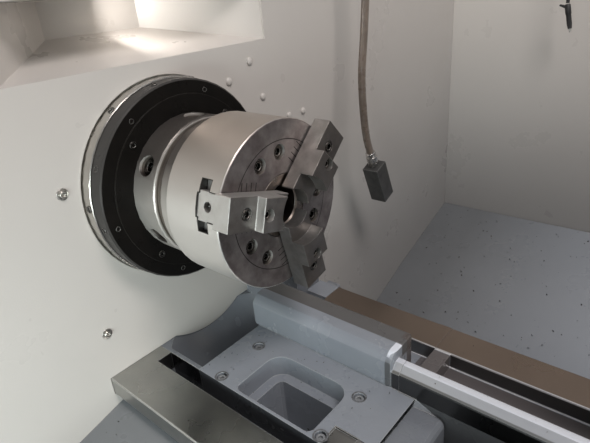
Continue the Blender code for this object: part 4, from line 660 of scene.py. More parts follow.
# %% Hose skins
def cloudy_hose():
    """Yellowed cloudy plastic under a clear skin."""
    f = Finish("cloudy_hose", (0.17, 0.135, 0.11), 0.30)
    f.tint((0.07, 0.055, 0.045), f.clouds(35.0, 0.0, 1.0, 4.0), 0.6)
    f.tint((0.28, 0.23, 0.19), f.clouds(90.0, 0.0, 1.0, 2.0), 0.3)
    f.rough(f.clouds(60.0, 0.22, 0.42))
    f.raise_by(f.clouds(160.0, 0.0, 1.0, 2.0), 0.0001)
    f.shader.inputs["Subsurface Weight"].default_value = 0.25
    f.shader.inputs["Subsurface Radius"].default_value = (0.004, 0.003, 0.002)
    f.shader.inputs["Coat Weight"].default_value = 0.6
    f.shader.inputs["Coat Roughness"].default_value = 0.15
    return f.done()


coolant = hose("coolant_hose_skin", coolant_route, 0.007, cloudy_hose())
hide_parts("coolant_hose")
air = hose("air_hose_skin", air_route, 0.0036, plain("air_hose_rubber", (0.02, 0.02, 0.021), 0.45).done())
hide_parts("air_hose")
print("hose points", len(coolant_route), len(air_route))


# %% [markdown]
# The block on the coolant hose is a square black housing with worn edges. A bright fitting with a
# knurled nut holds it to the hose. Knurling is rolled diamonds, so the nut's profile gets fine
# ridges round it.

# %% Block and fitting
LEAN = math.radians(22.0)
DOWN_HOSE = Vector((0, math.sin(LEAN), -math.cos(LEAN)))
HOSE_END = at(*HOSE_ROUTE[-1])


def knurled(bm, centre, axis, radius, start, end, teeth=36):
    """A short knurled barrel: teeth round it and soft ends."""
    outline = []
    for k in range(teeth * 2):
        reach = radius if k % 2 == 0 else radius * 0.955
        angle = math.pi * k / teeth
        outline.append((reach * math.cos(angle), reach * math.sin(angle)))
    prism(bm, centre, axis, outline, start, end)


def hanging_block():
    """The black block on the coolant hose, and its bright fitting."""
    bm = bmesh.new()
    side = 0.034
    long = 0.082
    neck_length = 0.033
    end_gap = 0.0006
    made = bmesh.ops.create_cube(bm, size=1.0)
    bmesh.ops.scale(bm, vec=(side, side, long), verts=made["verts"])
    bmesh.ops.bevel(bm, geom=bm.edges[:], offset=0.0016, segments=3, affect="EDGES", profile=0.6)
    top = HOSE_END + DOWN_HOSE * end_gap
    neck = top + DOWN_HOSE * neck_length
    middle = neck + DOWN_HOSE * (long / 2)
    turn = Matrix.Translation(middle) @ Matrix.Rotation(LEAN, 4, "X")
    bmesh.ops.transform(bm, matrix=turn, verts=bm.verts)
    spin(bm, neck + DOWN_HOSE * (long - 0.001), DOWN_HOSE, ((0.0055, 0), (0.0055, 0.003), (0.0038, 0.004),
                                                            (0.0036, 0.0085), (0, 0.009)), 16)
    f = plain("block_black", (0.022, 0.022, 0.023), 0.34, 0.0, 0.00002, 0.0015)
    f.tint((0.20, 0.20, 0.19), f.edges.outputs["Mask"], 0.55)
    f.tint((0.10, 0.10, 0.095), f.clouds(70.0, 0.0, 1.0, 6.0), 0.35)
    block = piece("hose_block_case", bm, "machine", f.done())
    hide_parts("hose_block")
    bm = bmesh.new()
    spin(bm, top, DOWN_HOSE, ((0.0074, 0.0), (0.0095, 0.0006), (0.0100, 0.004), (0.0084, 0.006),
                              (0.0084, 0.011)), 28)
    knurled(bm, top, DOWN_HOSE, 0.0106, 0.0105, 0.0205)
    spin(bm, top, DOWN_HOSE, ((0.0084, 0.0200), (0.0084, 0.0235), (0.0102, 0.0240), (0.0102, 0.0318),
                              (0.0085, 0.0335)), 6)
    fitting = piece("hose_fitting", bm, "machine",
                    turned_steel("fitting_steel", (0.62, 0.61, 0.59), 0.22, edge=0.0004).done(), 30.0)
    return block, fitting


block, fitting = hanging_block()


# %% [markdown]
# The small air nozzle at the back panel is a turned black body with a silver tip and a thumb lever.
# The body is a profile turned about a tilted axis, and the lever is a flat outline pushed sideways.

# %% Air nozzle
def air_nozzle():
    """The nozzle on the air hose: a body with its lever, and a tip."""
    bm = bmesh.new()
    radius = 0.006
    reach = 0.0110
    drop = 0.0500
    # A tilted end has a raised rim, so the nozzle hangs that much lower and clears the hose.
    lowered = radius * reach / drop + 0.0003
    top = at(*AIR_HOSE_ROUTE[-1]) + Vector((0, 0, -lowered))
    along = Vector((reach, 0.0, -drop))
    way = along.normalized()
    spin(bm, top, way, ((0, 0.0), (0.0042, 0.0), (0.0060, 0.003), (0.0060, 0.020), (0.0052, 0.022),
                        (0.0052, 0.040), (0.0040, 0.0508), (0, 0.051)), 24)
    prism(bm, top + way * 0.008, (0, 1, 0), ((0.0, -0.003), (0.0, 0.004), (0.016, 0.0075), (0.0175, 0.0045)),
          -0.0028, 0.0028)
    black = plain("nozzle_black", (0.025, 0.025, 0.026), 0.38, 0.0, 0.00003).done()
    body = piece("air_nozzle_body", bm, "machine", black)
    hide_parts("air_nozzle")
    bm = bmesh.new()
    spin(bm, top + along, way, ((0.0034, -0.002), (0.0034, 0.0006), (0.0022, 0.0010), (0.0022, 0.0060),
                                (0.0012, 0.0074), (0, 0.0074)), 16)
    tip = piece("air_nozzle_tip", bm, "machine", turned_steel("tip_steel", (0.66, 0.65, 0.63), 0.2).done())
    return body, tip


nozzle, nozzle_tip = air_nozzle()


# %% [markdown]
# ## Floor, lights and world
# The light in the photograph falls in from above, a little from the tailstock side: the chuck's
# shadow lies below it on the wall. One large lamp does that. A weaker one stands by the left of the
# open door and makes that end of the wall the brightest, and a small one lights the recess. The
# pale world and a studio lamp light the rest and the outside.

# %% Floor, lights and world
def floor():
    """A plain pale floor, which is the stage's and not the machine's."""
    bm = bmesh.new()
    bmesh.ops.create_grid(bm, x_segments=1, y_segments=1, size=9.0)
    mesh = bpy.data.meshes.new("floor")
    bm.to_mesh(mesh)
    bm.free()
    obj = bpy.data.objects.new("floor", mesh)
    scene.collection.objects.link(obj)
    f = Finish("floor_plain", (0.72, 0.71, 0.69), 0.75)
    f.rough(f.clouds(2.0, 0.68, 0.82))
    mesh.materials.append(f.done())


def lamp(name, place, target, energy, size, colour=(1, 1, 1), spread=180):
    """A square lamp aimed at a target."""
    data = bpy.data.lights.new(name, "AREA")
    data.energy = energy
    data.size = size
    data.color = colour
    data.spread = math.radians(spread)
    obj = bpy.data.objects.new(name, data)
    obj.location = place
    obj.rotation_euler = (Vector(target) - Vector(place)).to_track_quat("-Z", "Y").to_euler()
    scene.collection.objects.link(obj)
    print("lamp", name, energy, "W")


def world():
    """An even pale world."""
    made = bpy.data.worlds.new("studio")
    scene.world = made
    made.use_nodes = True
    back = made.node_tree.nodes["Background"]
    back.inputs["Color"].default_value = (0.93, 0.95, 1.0, 1.0)
    back.inputs["Strength"].default_value = 0.32


floor()
lamp("key", (0.97, -0.47, 2.95), (-0.25, -0.05, 1.0), 31.0, 0.7, (1.0, 0.93, 0.90))
lamp("door_fill", (0.15, -1.20, 0.98), (-0.41, -0.48, 0.86), 2.0, 0.5, (0.90, 1.0, 0.98), 75)
lamp("recess", at(-0.27, 0.0, 0.242), at(-0.27, 0.3, 0.242), 0.22, 0.06, (1.0, 0.93, 0.88))
lamp("studio", (-2.9, -2.7, 2.3), (-0.6, -0.5, 0.9), 55.0, 1.6)
world()
scene.view_settings.view_transform = "Standard"


# %% [markdown]
# ## Sheet metal
# The walls and trays are folded sheet with warm pale paint. Inside they carry a haze of coolant
# and painted shade low down at the far side, and the trays hold loose chips and grow paler towards
# the tailstock with painted light. The outside is cleaner. Each sheet gets its own colour within
# the same family, as panels painted on different days do.

# %% Sheet metal finishes
WALL = (0.58, 0.555, 0.525)
BACK = (0.80, 0.765, 0.72)
SKIN = (0.66, 0.65, 0.61)


def inner_wall(name):
    """Warm pale paint with a faint haze, and painted shade low down at the far side."""
    colour = BACK if name == "back_panel" else WALL
    f = painted(name + "_paint", colour, 0.34, 0.00003, 0.06, 0.0015, 0.03, 0.15)
    haze = f.clouds(2.2, 0.0, 1.0, 3.0)
    f.tint(tuple(c * 0.84 for c in colour), haze, 0.15)
    # Painted shade: faces turned into the enclosure grow darker low down and towards the far side.
    low = f.ramp(f.position("Z"), at(0, 0, 0.30).z, at(0, 0, -0.42).z, True)
    far = f.ramp(f.position("Y"), at(0, 0.05, 0).y, at(0, 0.60, 0).y, True)
    if name == "back_panel":
        inward = f.ramp(f.facing("Y"), -0.2, -0.6)
    else:
        inward = f.ramp(f.facing("X"), 0.2, 0.6)
    f.tint((0.27, 0.27, 0.27), f.all_of(low, far, inward), 0.85)
    return f.done()


def outer_skin(name):
    """Clean pale paint."""
    return painted(name + "_paint", SKIN, 0.36, 0.00006, 0.10, 0.002, 0.0, 0.2).done()


def tray_paint(name):
    """Dark grey paint, wet in patches, with painted light making it paler towards the tailstock."""
    f = painted(name + "_paint", (0.165, 0.175, 0.185), 0.32, 0.00003, 0.15, 0.0015, 0.20, 0.15)
    wet = f.clouds(5.0, 0.0, 1.0, 5.0)
    f.tint((0.11, 0.115, 0.12), wet, 0.3)
    # Painted light: the paint grows paler towards the tailstock.
    f.tint((0.42, 0.46, 0.52), f.ramp(f.position("X"), at(-0.10, 0, 0).x, at(0.40, 0, 0).x), 0.75)
    return f.done()


dress("partition recess_box back_panel", inner_wall)
dress("front_panel headstock_cover right_panel door cabinet cabinet_door", outer_skin)
dress("front_tray rear_tray", tray_paint)


# %% [markdown]
# ## Bed and gap bridge
# Both castings are enamelled with a brush over filler, so the paint is glossy and slightly wavy.
# The ways are ground bare. One material holds both: masks from the position pick out the ways,
# where the surface turns metallic, with fine lines along the bed. The screwed-in bridge has the
# same two surfaces, and its ways start where its painted rail ends.

# %% Bare ways, painted shade and painted highlights
def inside_any(f, boxes):
    """1 inside any of the boxes; each is low, high from the chuck's face."""
    inside = None
    for low, high in boxes:
        box = f.all_of(*(f.span(axis, low[k], high[k]) for k, axis in enumerate("XYZ")))
        inside = box if inside is None else maths(f.tree, "MAXIMUM", inside, box)
    return inside


def way_steel(f):
    """Bare ground steel: grey patches, bright edges, and brown oil on the rear way."""
    metal = f.add("Mix", {"data_type": "RGBA"}, i0=f.clouds(17.0, 0.0, 1.0, 5.0), i6=(0.36, 0.36, 0.35, 1.0),
                  i7=(0.42, 0.42, 0.40, 1.0))
    metal = f.add("Mix", {"data_type": "RGBA"}, i0=f.edges.outputs["Mask"], i6=metal.outputs[2],
                  i7=(0.85, 0.85, 0.84, 1.0))
    brown = maths(f.tree, "MULTIPLY", f.span("Y", 0.14, 0.22), 0.8)
    metal = f.add("Mix", {"data_type": "RGBA"}, i0=brown, i6=metal.outputs[2], i7=(0.21, 0.15, 0.112, 1.0))
    return metal.outputs[2]


def way_shade_and_highlights(f, behind_rail):
    """Lay painted shade on a casting's faces towards the door, painted highlights on the V way's crest and
    the rear way's edge, and a darker brown over the trough, and give back the mask of the V way's crest.
    """
    forward = f.ramp(f.facing("Y"), -0.7, -0.92)
    beyond = f.span("X", 0.116, 1.4)
    # Painted shade: faces turned towards the door, in the slot and on the bridge, are laid nearly black.
    slot_wall = f.all_of(forward, f.span("Y", -0.116, -0.02))
    f.tint((0.022, 0.022, 0.024), slot_wall, 0.9)
    # Painted shade on the V way's front flank.
    flank = f.all_of(forward, beyond, f.span("Y", -0.02, 0.13))
    f.tint((0.075, 0.078, 0.08), flank, 0.85)
    # Painted highlight: the V way's upward crest is laid pale blue, a painted reflection of the sky.
    crest = f.all_of(beyond, f.ramp(f.facing("Z"), 0.6, 0.8), f.span("Y", 0.045, 0.072))
    f.tint((0.80, 0.84, 0.92), crest, 0.85)
    # Painted shade on the rear way's front face.
    rear_front = f.all_of(forward, f.span("Y", 0.14, 0.16))
    f.tint((0.17, 0.18, 0.185), rear_front, 0.85)
    # Painted highlight: a pale line along the top of the rear way's front edge.
    rear_line = f.all_of(f.ramp(f.facing("Z"), 0.5, 0.9), f.span("Y", 0.1445, 0.1490))
    f.tint((0.86, 0.88, 0.92), rear_line, 0.85)
    # Painted shade on the raised casting behind the bridge's rail.
    if behind_rail:
        f.tint((0.085, 0.080, 0.076), f.all_of(f.span("Y", 0.070, 0.12), f.span("Z", -0.222, -0.19)), 0.88)
    trough = f.all_of(beyond, f.span("Y", 0.083, 0.143))
    f.tint((0.085, 0.068, 0.062), trough, 0.75)
    return crest


# %% [markdown]
# The finish of a casting is mixed by one mask, 1 on bare steel and 0 on enamel. It mixes the
# colours and the roughness, feeds Metallic, and lets the paint's waves and the tool's lines each
# show only on their own surface.

# %% Castings with ground ways
def casting(name, boxes, colour, behind_rail=False):
    """Glossy enamel, with bare steel inside the given boxes."""
    f = Finish(name, colour, 0.2, edge=0.0016)
    f.tint((0.12, 0.13, 0.15), f.clouds(5.0, 0.0, 1.0), 0.3)
    f.tint((0.25, 0.265, 0.27), f.clouds(13.0, 0.0, 1.0, 5.0), 0.2)
    f.tint((0.50, 0.52, 0.52), f.edges.outputs["Mask"], 0.45)
    specks = f.use(SPECKS, Coordinates=f.place, Scale=48.0, Size=0.11, Share=0.22).outputs[0]
    f.tint((0.05, 0.05, 0.05), specks, 0.9)
    bare = inside_any(f, boxes)
    f.colour = f.add("Mix", {"data_type": "RGBA"}, i0=bare, i6=f.colour, i7=way_steel(f)).outputs[2]
    crest = way_shade_and_highlights(f, behind_rail)
    # The painted reflection on the crest is made less metallic, so its pale colour shows.
    metallic = maths(f.tree, "SUBTRACT", bare, maths(f.tree, "MULTIPLY", crest, 0.75))
    f.tree.links.new(metallic, f.shader.inputs["Metallic"])
    f.rough(f.add("Mix", {"data_type": "FLOAT"}, i0=bare, i2=f.clouds(9.0, 0.16, 0.34),
                  i3=f.clouds(7.0, 0.24, 0.36, 4.0)).outputs[0])
    paint = maths(f.tree, "SUBTRACT", 1.0, bare)
    f.raise_by(f.all_of(f.clouds(22.0, 0.0, 1.0, 2.0), paint), 0.0004)
    f.raise_by(f.all_of(f.clouds(180.0, 0.0, 1.0, 2.0), paint), 0.00008)
    lines = f.use(LINES, Coordinates=f.place, Stretch=(0.03, 1.0, 1.0), Scale=800.0).outputs[0]
    f.raise_by(f.all_of(lines, bare), 0.000006)
    return f.done()


BED_WAYS = (
    ((-0.70, -0.180, -0.2845), (1.40, -0.0860, -0.20)),
    ((0.10, -0.0870, -0.262), (1.40, -0.0530, -0.20)),
    ((0.116, 0.0415, -0.2560), (1.40, 0.0810, -0.20)),
    ((-0.077, 0.1455, -0.2845), (1.40, 0.2050, -0.22)),
)
BRIDGE_WAYS = (
    ((0.1025, -0.0900, -0.262), (0.140, -0.0530, -0.20)),
    ((0.1255, 0.0415, -0.2560), (0.140, 0.0810, -0.20)),
    ((-0.0765, 0.1455, -0.2845), (0.140, 0.2050, -0.22)),
)
dress("bed", lambda name: casting("bed_enamel", BED_WAYS, (0.17, 0.185, 0.21)))
dress("gap_bridge", lambda name: casting("bridge_enamel", BRIDGE_WAYS, (0.27, 0.295, 0.335), True))


# %% [markdown]
# The bridge is held by cap screws in counterbores. They were painted over once and wiped, so their
# rims are bright and the paint has cracked in a ring round each.

# %% Bridge screws
BRIDGE_SCREWS = ((-0.083, 0.002), (0.0997, 0.003), (-0.081, -0.0765), (0.097, -0.0765))


def bridge_screws():
    """Four painted cap screws, and the cracked rims round them."""
    bm = bmesh.new()
    for x, y in BRIDGE_SCREWS:
        socket_screw(bm, at(x, y, -0.2655), (0, 0, 1), 0.0062, 0.0085, 0.0033, 0.004, 24)
    f = painted("bridge_screw_paint", (0.24, 0.255, 0.27), 0.3, 0.00004, 0.3, 0.0008, 0.0)
    f.tint((0.50, 0.50, 0.49), f.edges.outputs["Mask"], 0.5)
    piece("bridge_screws", bm, "machine", f.done())
    bm = bmesh.new()
    for x, y in BRIDGE_SCREWS:
        spin(bm, at(x, y, -0.2545), (0, 0, 1), ((0.0076, -0.0020), (0.0077, 0.0001), (0.0086, 0.0005),
                                                (0.0098, 0.00045), (0.0103, -0.0002)), 32)
    g = plain("cracked_rim", (0.05, 0.05, 0.05), 0.5, 0.0, 0.0001)
    g.tint((0.22, 0.23, 0.25), g.clouds(300.0, 0.0, 1.0), 0.7)
    piece("bridge_screw_rims", bm, "machine", g.done())


bridge_screws()


# %% [markdown]
# ## Chuck
# The chuck's body is hardened and cylindrically ground, so its side is a soft satin with fine
# rings; its upper side carries painted shade in dark brown. Its face is darker, partly painted shade
# and partly brown oil in the tool marks, with one scribed circle and short scribed lines beside each
# jaw, by which the jaws are set. The marks come from distances along and across the jaw, so they
# stay sharp at any size. Where the jaw slots open at the side, they are filled with painted shade.

# %% Chuck body finish
JAW_ANGLES = (162.5, 42.5, -77.5)
# Half width, front and back of each step of a jaw slot, seen from the side.
SLOT_STEPS = ((0.0173, 0.02, -0.0175), (0.0304, -0.0165, -0.0342), (0.0144, -0.03, -0.0368))


def jaw_distances(tree, y, z, angle):
    """Distance from a jaw's middle plane, and distance out along the jaw."""
    sine = math.sin(math.radians(angle))
    cosine = math.cos(math.radians(angle))
    across = maths(tree, "ADD", maths(tree, "MULTIPLY", y, -sine), maths(tree, "MULTIPLY", z, cosine))
    along = maths(tree, "ADD", maths(tree, "MULTIPLY", y, cosine), maths(tree, "MULTIPLY", z, sine))
    return maths(tree, "ABSOLUTE", across), along


def scribed_marks(f, y, z):
    """The scribed circle, and short lines beside each jaw."""
    scribed = f.between(f.turned.outputs["Radius"], 0.0800, 0.0810, 0.00015)
    for angle in JAW_ANGLES:
        side, along = jaw_distances(f.tree, y, z, angle)
        beside = f.all_of(f.between(side, 0.0165, 0.0290, 0.0002), f.between(along, 0.0, 0.2, 0.0001))
        for level in (0.050, 0.0575, 0.065, 0.0725):
            mark = f.all_of(beside, f.between(along, level, level + 0.0011, 0.00015))
            scribed = maths(f.tree, "MAXIMUM", scribed, mark)
    return scribed


def shade_slots(f, x, y, z):
    """Painted shade, nearly black, in the jaw slots where they open at the body's side."""
    for angle in JAW_ANGLES:
        side, along = jaw_distances(f.tree, y, z, angle)
        outside = f.between(along, 0.09, 0.2)
        for half_width, front, back in SLOT_STEPS:
            f.tint((0.012, 0.011, 0.010), f.all_of(outside, f.between(side, -1.0, half_width, 0.0002),
                                                   f.between(x, back, front, 0.0002)), 0.95)


def chuck_body_steel(name):
    """Ground steel with a face darkened by painted shade and oil, scribed marks, slots in painted shade and
    painted shade on its upper side.
    """
    f = turned_steel("chuck_body_steel", (0.76, 0.74, 0.71), 0.38, CHUCK_AXIS, 0.000004, 0.05, 0.0010,
                     0.0011, 0.15)
    f.shader.inputs["Metallic"].default_value = 0.7
    f.rough(f.clouds(20.0, 0.34, 0.44, 4.0))
    # Painted shade: upward faces take a dark brown.
    f.tint((0.27, 0.215, 0.175), f.ramp(f.facing("Z"), 0.10, 0.85), 0.75)
    # The face is darkened: partly painted shade, partly brown oil.
    on_face = f.between(f.position("X"), FACE.x - 0.0006, FACE.x + 0.01, 0.0003)
    f.tint((0.085, 0.066, 0.068), f.all_of(on_face, f.clouds(45.0, 0.80, 1.0, 6.0)), 0.95)
    x, y, z = (maths(f.tree, "SUBTRACT", f.position(axis), FACE[k]) for k, axis in enumerate("XYZ"))
    scribed = f.all_of(on_face, scribed_marks(f, y, z))
    f.tint((0.012, 0.010, 0.009), scribed, 0.95)
    f.raise_by(scribed, -0.0001)
    shade_slots(f, x, y, z)
    return f.done()


dress("chuck_body", chuck_body_steel)


# %% [markdown]
# The jaws are milled and ground, with lines along them and painted shade on their front faces.
# Each catches the light in another way, so each has its sides painted in their own shade. The
# nose, bush and rings behind the chuck are turned about the same axis, the nose with painted shade
# on its upper side, and the bearing cap is blacked.

# %% Jaw, nose and cap finishes
# Painted shade: the side colour of each jaw, darker for the jaws that catch less light.
JAW_SIDE_SHADE = {"1": (0.60, 0.59, 0.57), "2": (0.15, 0.135, 0.125), "3": (0.065, 0.060, 0.062)}


def jaw_steel(name):
    """Milled and ground steel, each jaw's sides painted in their own shade, and painted shade on the front
    faces.
    """
    f = ground(name + "_steel", (0.66, 0.65, 0.63), 0.34, "Z", 0.0010, 0.000005, 0.12)
    f.shader.inputs["Metallic"].default_value = 0.75
    f.tint(JAW_SIDE_SHADE[name[-1]], f.clouds(30.0, 0.7, 1.0, 4.0), 0.9)
    # Painted shade on the faces turned towards the tailstock.
    front_face_shade = f.ramp(f.facing("X"), 0.6, 0.95)
    f.tint((0.085, 0.078, 0.074), f.all_of(front_face_shade, f.clouds(38.0, 0.75, 1.0, 6.0)), 0.95)
    f.tint((0.24, 0.20, 0.17), f.clouds(55.0, 0.0, 1.0, 6.0), 0.2)
    return f.done()


def nose_steel(name):
    """Turned steel, brown near the axis, with painted shade on its upper side."""
    f = turned_steel(name + "_steel", (0.64, 0.61, 0.57), 0.36, CHUCK_AXIS, 0.000005, 0.12, 0.0009, 0.0016)
    f.shader.inputs["Metallic"].default_value = 0.55
    groove = f.between(f.turned.outputs["Radius"], 0.0, 0.0935, 0.0005)
    f.tint((0.10, 0.075, 0.055), groove, 0.8)
    # Painted shade on the upper side.
    f.tint((0.045, 0.036, 0.032), f.ramp(f.facing("Z"), 0.05, 0.62), 0.9)
    return f.done()


def bush_steel(name):
    """Brown turned steel round the chuck's bore."""
    return turned_steel(name + "_steel", (0.20, 0.17, 0.15), 0.34, CHUCK_AXIS, 0.000006, 0.3, 0.0009,
                        0.0016).done()


def dark_cap(name):
    """Blacked steel with turned rings, a little worn at its edges."""
    f = Finish("cap_black", (0.006, 0.0055, 0.005), 0.3, 0.0, 0.0010)
    f.shader.inputs["Specular IOR Level"].default_value = 0.09
    f.turned = f.use(TURNED, Coordinates=f.place, Axis_Point=CHUCK_AXIS, Pitch=0.0018)
    f.raise_by(f.turned.outputs["Rings"], 0.000010)
    f.tint((0.012, 0.010, 0.009), f.clouds(30.0, 0.0, 1.0, 5.0), 0.5)
    f.tint((0.05, 0.045, 0.04), f.edges.outputs["Mask"], 0.4)
    f.tint((0.055, 0.052, 0.05), f.between(f.turned.outputs["Radius"], 0.139, 0.2, 0.0004), 0.9)
    f.rough(f.clouds(26.0, 0.24, 0.40, 5.0))
    return f.done()


dress("chuck_back_plate spindle", nose_steel)
dress("chuck_bush", bush_steel)
dress("master_jaw_1 master_jaw_2 master_jaw_3 top_jaw_1 top_jaw_2 top_jaw_3", jaw_steel)
dress("front_cap", dark_cap)
dress("base_ring", lambda name: turned_steel("base_ring_steel", (0.55, 0.53, 0.50), 0.2, CHUCK_AXIS, 0.000008,
                                             0.3, 0.0009, 0.0015).done())


# %% [markdown]
# The screws are the small forms that make the chuck read as real: six deep cap screws through the
# body, three tiny ones in the bush, two in each top jaw, and round pins and set screws in the
# rings. They are black oxide, rubbed bright on their rims.

# %% Chuck and jaw screws
def oxide(name, colour=(0.07, 0.065, 0.06), bright=0.75):
    """Black oxide, rubbed bright on its edges."""
    f = turned_steel(name, colour, 0.32, CHUCK_AXIS, 0.000004, 0.4, 0.0005)
    f.tint((0.60, 0.58, 0.55), f.edges.outputs["Mask"], bright)
    return f.done()


def chuck_screws():
    """Screws of the body and the bush, and those of each jaw."""
    bm = bmesh.new()
    for angle in JAW_ANGLES:
        for side in (-15.0, 15.0):
            y, z = polar(0.0664, angle + 60 + side)
            socket_screw(bm, at(-0.0108, y, z), (1, 0, 0), 0.0082, 0.0080, 0.0045, 0.0055)
        y, z = polar(0.0355, angle + 60)
        socket_screw(bm, at(-0.0012, y, z), (1, 0, 0), 0.0026, 0.0011, 0.0014, 0.0009, 18)
    piece("chuck_screws", bm, "spindle", oxide("chuck_screw_oxide", (0.05, 0.045, 0.04), 0.50))
    for number, angle in enumerate(JAW_ANGLES, start=1):
        bm = bmesh.new()
        y, z = polar(0.087, angle)
        socket_screw(bm, at(0.0136, y, z), (1, 0, 0), 0.0064, 0.0125, 0.0037, 0.0050)
        y, z = polar(0.064, angle)
        socket_screw(bm, at(0.0258, y, z), (1, 0, 0), 0.0064, 0.0072, 0.0037, 0.0050)
        y, z = polar(0.0921, angle)
        direction = at(0, *polar(1.0, angle)) - FACE
        spin(bm, at(-0.019, y, z), direction, ((0.0057, 0.0), (0.0057, 0.0050), (0.0046, 0.0060),
                                               (0.0028, 0.0062), (0.0024, 0.0052), (0.0, 0.0050)), 24)
        piece(f"jaw_screws_{number}", bm, f"jaw_{number}",
              oxide(f"jaw_screw_oxide_{number}", (0.05, 0.045, 0.04), 0.40))


chuck_screws()


# %% [markdown]
# Behind the chuck, the bearing cap has screws and pins on its face and round its rim, the base ring
# has screws round it, and the spindle nose has six cams that draw a chuck on. A cam is turned by a
# square key, so its socket is a turned shape with only four sides.

# %% Cap screws and nose cams
def cap_screws():
    """Screws of the bearing cap and of the base ring."""
    bm = bmesh.new()
    face = -0.1701
    for angle in (47.0, 137.0, 228.0, 318.0):
        y, z = polar(0.111, angle)
        socket_screw(bm, at(face - 0.0010, y, z), (1, 0, 0), 0.0050, 0.0022, 0.0027, 0.002)
    rim = -0.1721
    for angle in (125.6, 68.8, 10.0, -50.0, -110.0, -170.0):
        y, z = polar(0.1285, angle)
        spin(bm, at(rim, y, z), (1, 0, 0), ((0.0036, -0.0005), (0.0036, 0.0005), (0.0026, 0.0006),
                                            (0.0022, -0.0002), (0.0, -0.0003)), 20)
    for angle in (156.0, 100.0, 189.0, 44.0, -80.0):
        direction = at(0, *polar(1.0, angle)) - FACE
        y, z = polar(0.1405, angle)
        spin(bm, at(-0.184, y, z), direction, ((0.0046, -0.002), (0.0046, 0.0014), (0.0036, 0.0017),
                                               (0.0028, 0.0006), (0.0, 0.0004)), 20)
    piece("cap_screws", bm, "machine", oxide("cap_screw_oxide", (0.03, 0.027, 0.025), 0.35))
    bm = bmesh.new()
    for angle in (125.0, 178.0, 70.0, -60.0, -120.0):
        direction = at(0, *polar(1.0, angle)) - FACE
        y, z = polar(0.1420, angle)
        socket_screw(bm, at(-0.2010, y, z), direction, 0.0050, 0.0026, 0.0027, 0.002)
    piece("base_ring_screws", bm, "machine", oxide("base_screw_oxide", (0.05, 0.048, 0.045), 0.9))


def nose_cams():
    """Six cams round the spindle nose, each with a square socket."""
    bm = bmesh.new()
    for k in range(6):
        angle = 27.3 + 60 * k
        direction = at(0, *polar(1.0, angle)) - FACE
        place = at(-0.1495, *polar(0.0830, angle))
        spin(bm, place, direction, ((0.0128, 0.0), (0.0128, 0.0068), (0.0118, 0.0078), (0.0062, 0.0078),
                                    (0.0058, 0.0072)), 28)
        spin(bm, place, direction, ((0.0066, 0.0072), (0.0066, 0.0020), (0.0, 0.0020)), 4)
    piece("nose_cams", bm, "spindle", oxide("cam_steel", (0.028, 0.025, 0.023), 0.6))


cap_screws()
nose_cams()


# %% [markdown]
# ## Wall screws and chips
# Screws hold the partition. Most are low domes painted over with the wall, and two near the door
# are zinc cap screws on washers. The painted ones take the wall's own paint, so only their shadows
# show.

# %% Wall screws
def wall_screws():
    """Painted domes, and two zinc cap screws on washers."""
    wall = -0.212
    bm = bmesh.new()
    for y, z in ((0.177, 0.136), (0.1285, 0.113), (0.199, 0.0756), (0.299, 0.029), (0.260, 0.030),
                 (0.70, 0.45), (-0.40, 0.10), (-0.40, -0.15), (-0.42, 0.45), (0.30, 0.58)):
        spin(bm, at(wall, y, z), (1, 0, 0), ((0.0062, 0.0002), (0.0060, 0.0014), (0.0048, 0.0028),
                                             (0.0026, 0.0036), (0.0, 0.0038)), 24)
    piece("painted_wall_screws", bm, "machine",
          painted("painted_screw_paint", WALL, 0.34, 0.00003, 0.06, 0.0006, 0.0, 0.15).done())
    bm = bmesh.new()
    for y, z in ((-0.166, 0.032), (-0.162, -0.182)):
        spin(bm, at(wall, y, z), (1, 0, 0), ((0.0075, 0.0002), (0.0075, 0.0010), (0.0070, 0.0013),
                                             (0.0048, 0.0014)), 24)
        socket_screw(bm, at(wall + 0.0012, y, z), (1, 0, 0), 0.0046, 0.0034, 0.0022, 0.0022, 18)
    f = turned_steel("wall_screw_zinc", (0.62, 0.60, 0.56), 0.3, CHUCK_AXIS, 0.000004, 0.3, 0.0006)
    piece("wall_screws", bm, "machine", f.done())


wall_screws()


# %% [markdown]
# Chips of turned jobs lie in the trays and on the castings: small dark curls and flakes. They are
# real geometry, since each throws a tiny shadow. A ray cast straight down finds where each comes to
# rest, so none floats or sinks in.

# %% Chips
def chip(bm, place, size, seed):
    """A curled flake of metal lying on a surface."""
    pick = random.Random(seed)
    turn = Matrix.Rotation(pick.uniform(0, 6.28), 3, "Z") @ Matrix.Rotation(pick.uniform(-0.6, 0.6), 3, "X")
    curl = pick.uniform(0.5, 2.2)
    rows = []
    for k in range(4):
        t = k / 3
        a = curl * t
        spot = Vector((math.sin(a), 0, 1 - math.cos(a))) * size / max(curl, 0.6)
        wide = size * (0.35 - 0.2 * abs(t - 0.5))
        rows.append([bm.verts.new(place + turn @ (spot + Vector((0, s * wide, 0.0004)))) for s in (-1, 1)])
    for first, second in zip(rows, rows[1:]):
        bm.faces.new((first[0], first[1], second[1], second[0]))


def landing(node_name, x, y):
    """Where something let fall at a place comes to rest on a node, or None beside it."""
    top = at(x, y, 0.3)
    hit, spot, normal, _ = frame["nodes"][node_name].ray_cast(top, Vector((0, 0, -1)))
    return spot if hit and normal.z > 0.5 else None


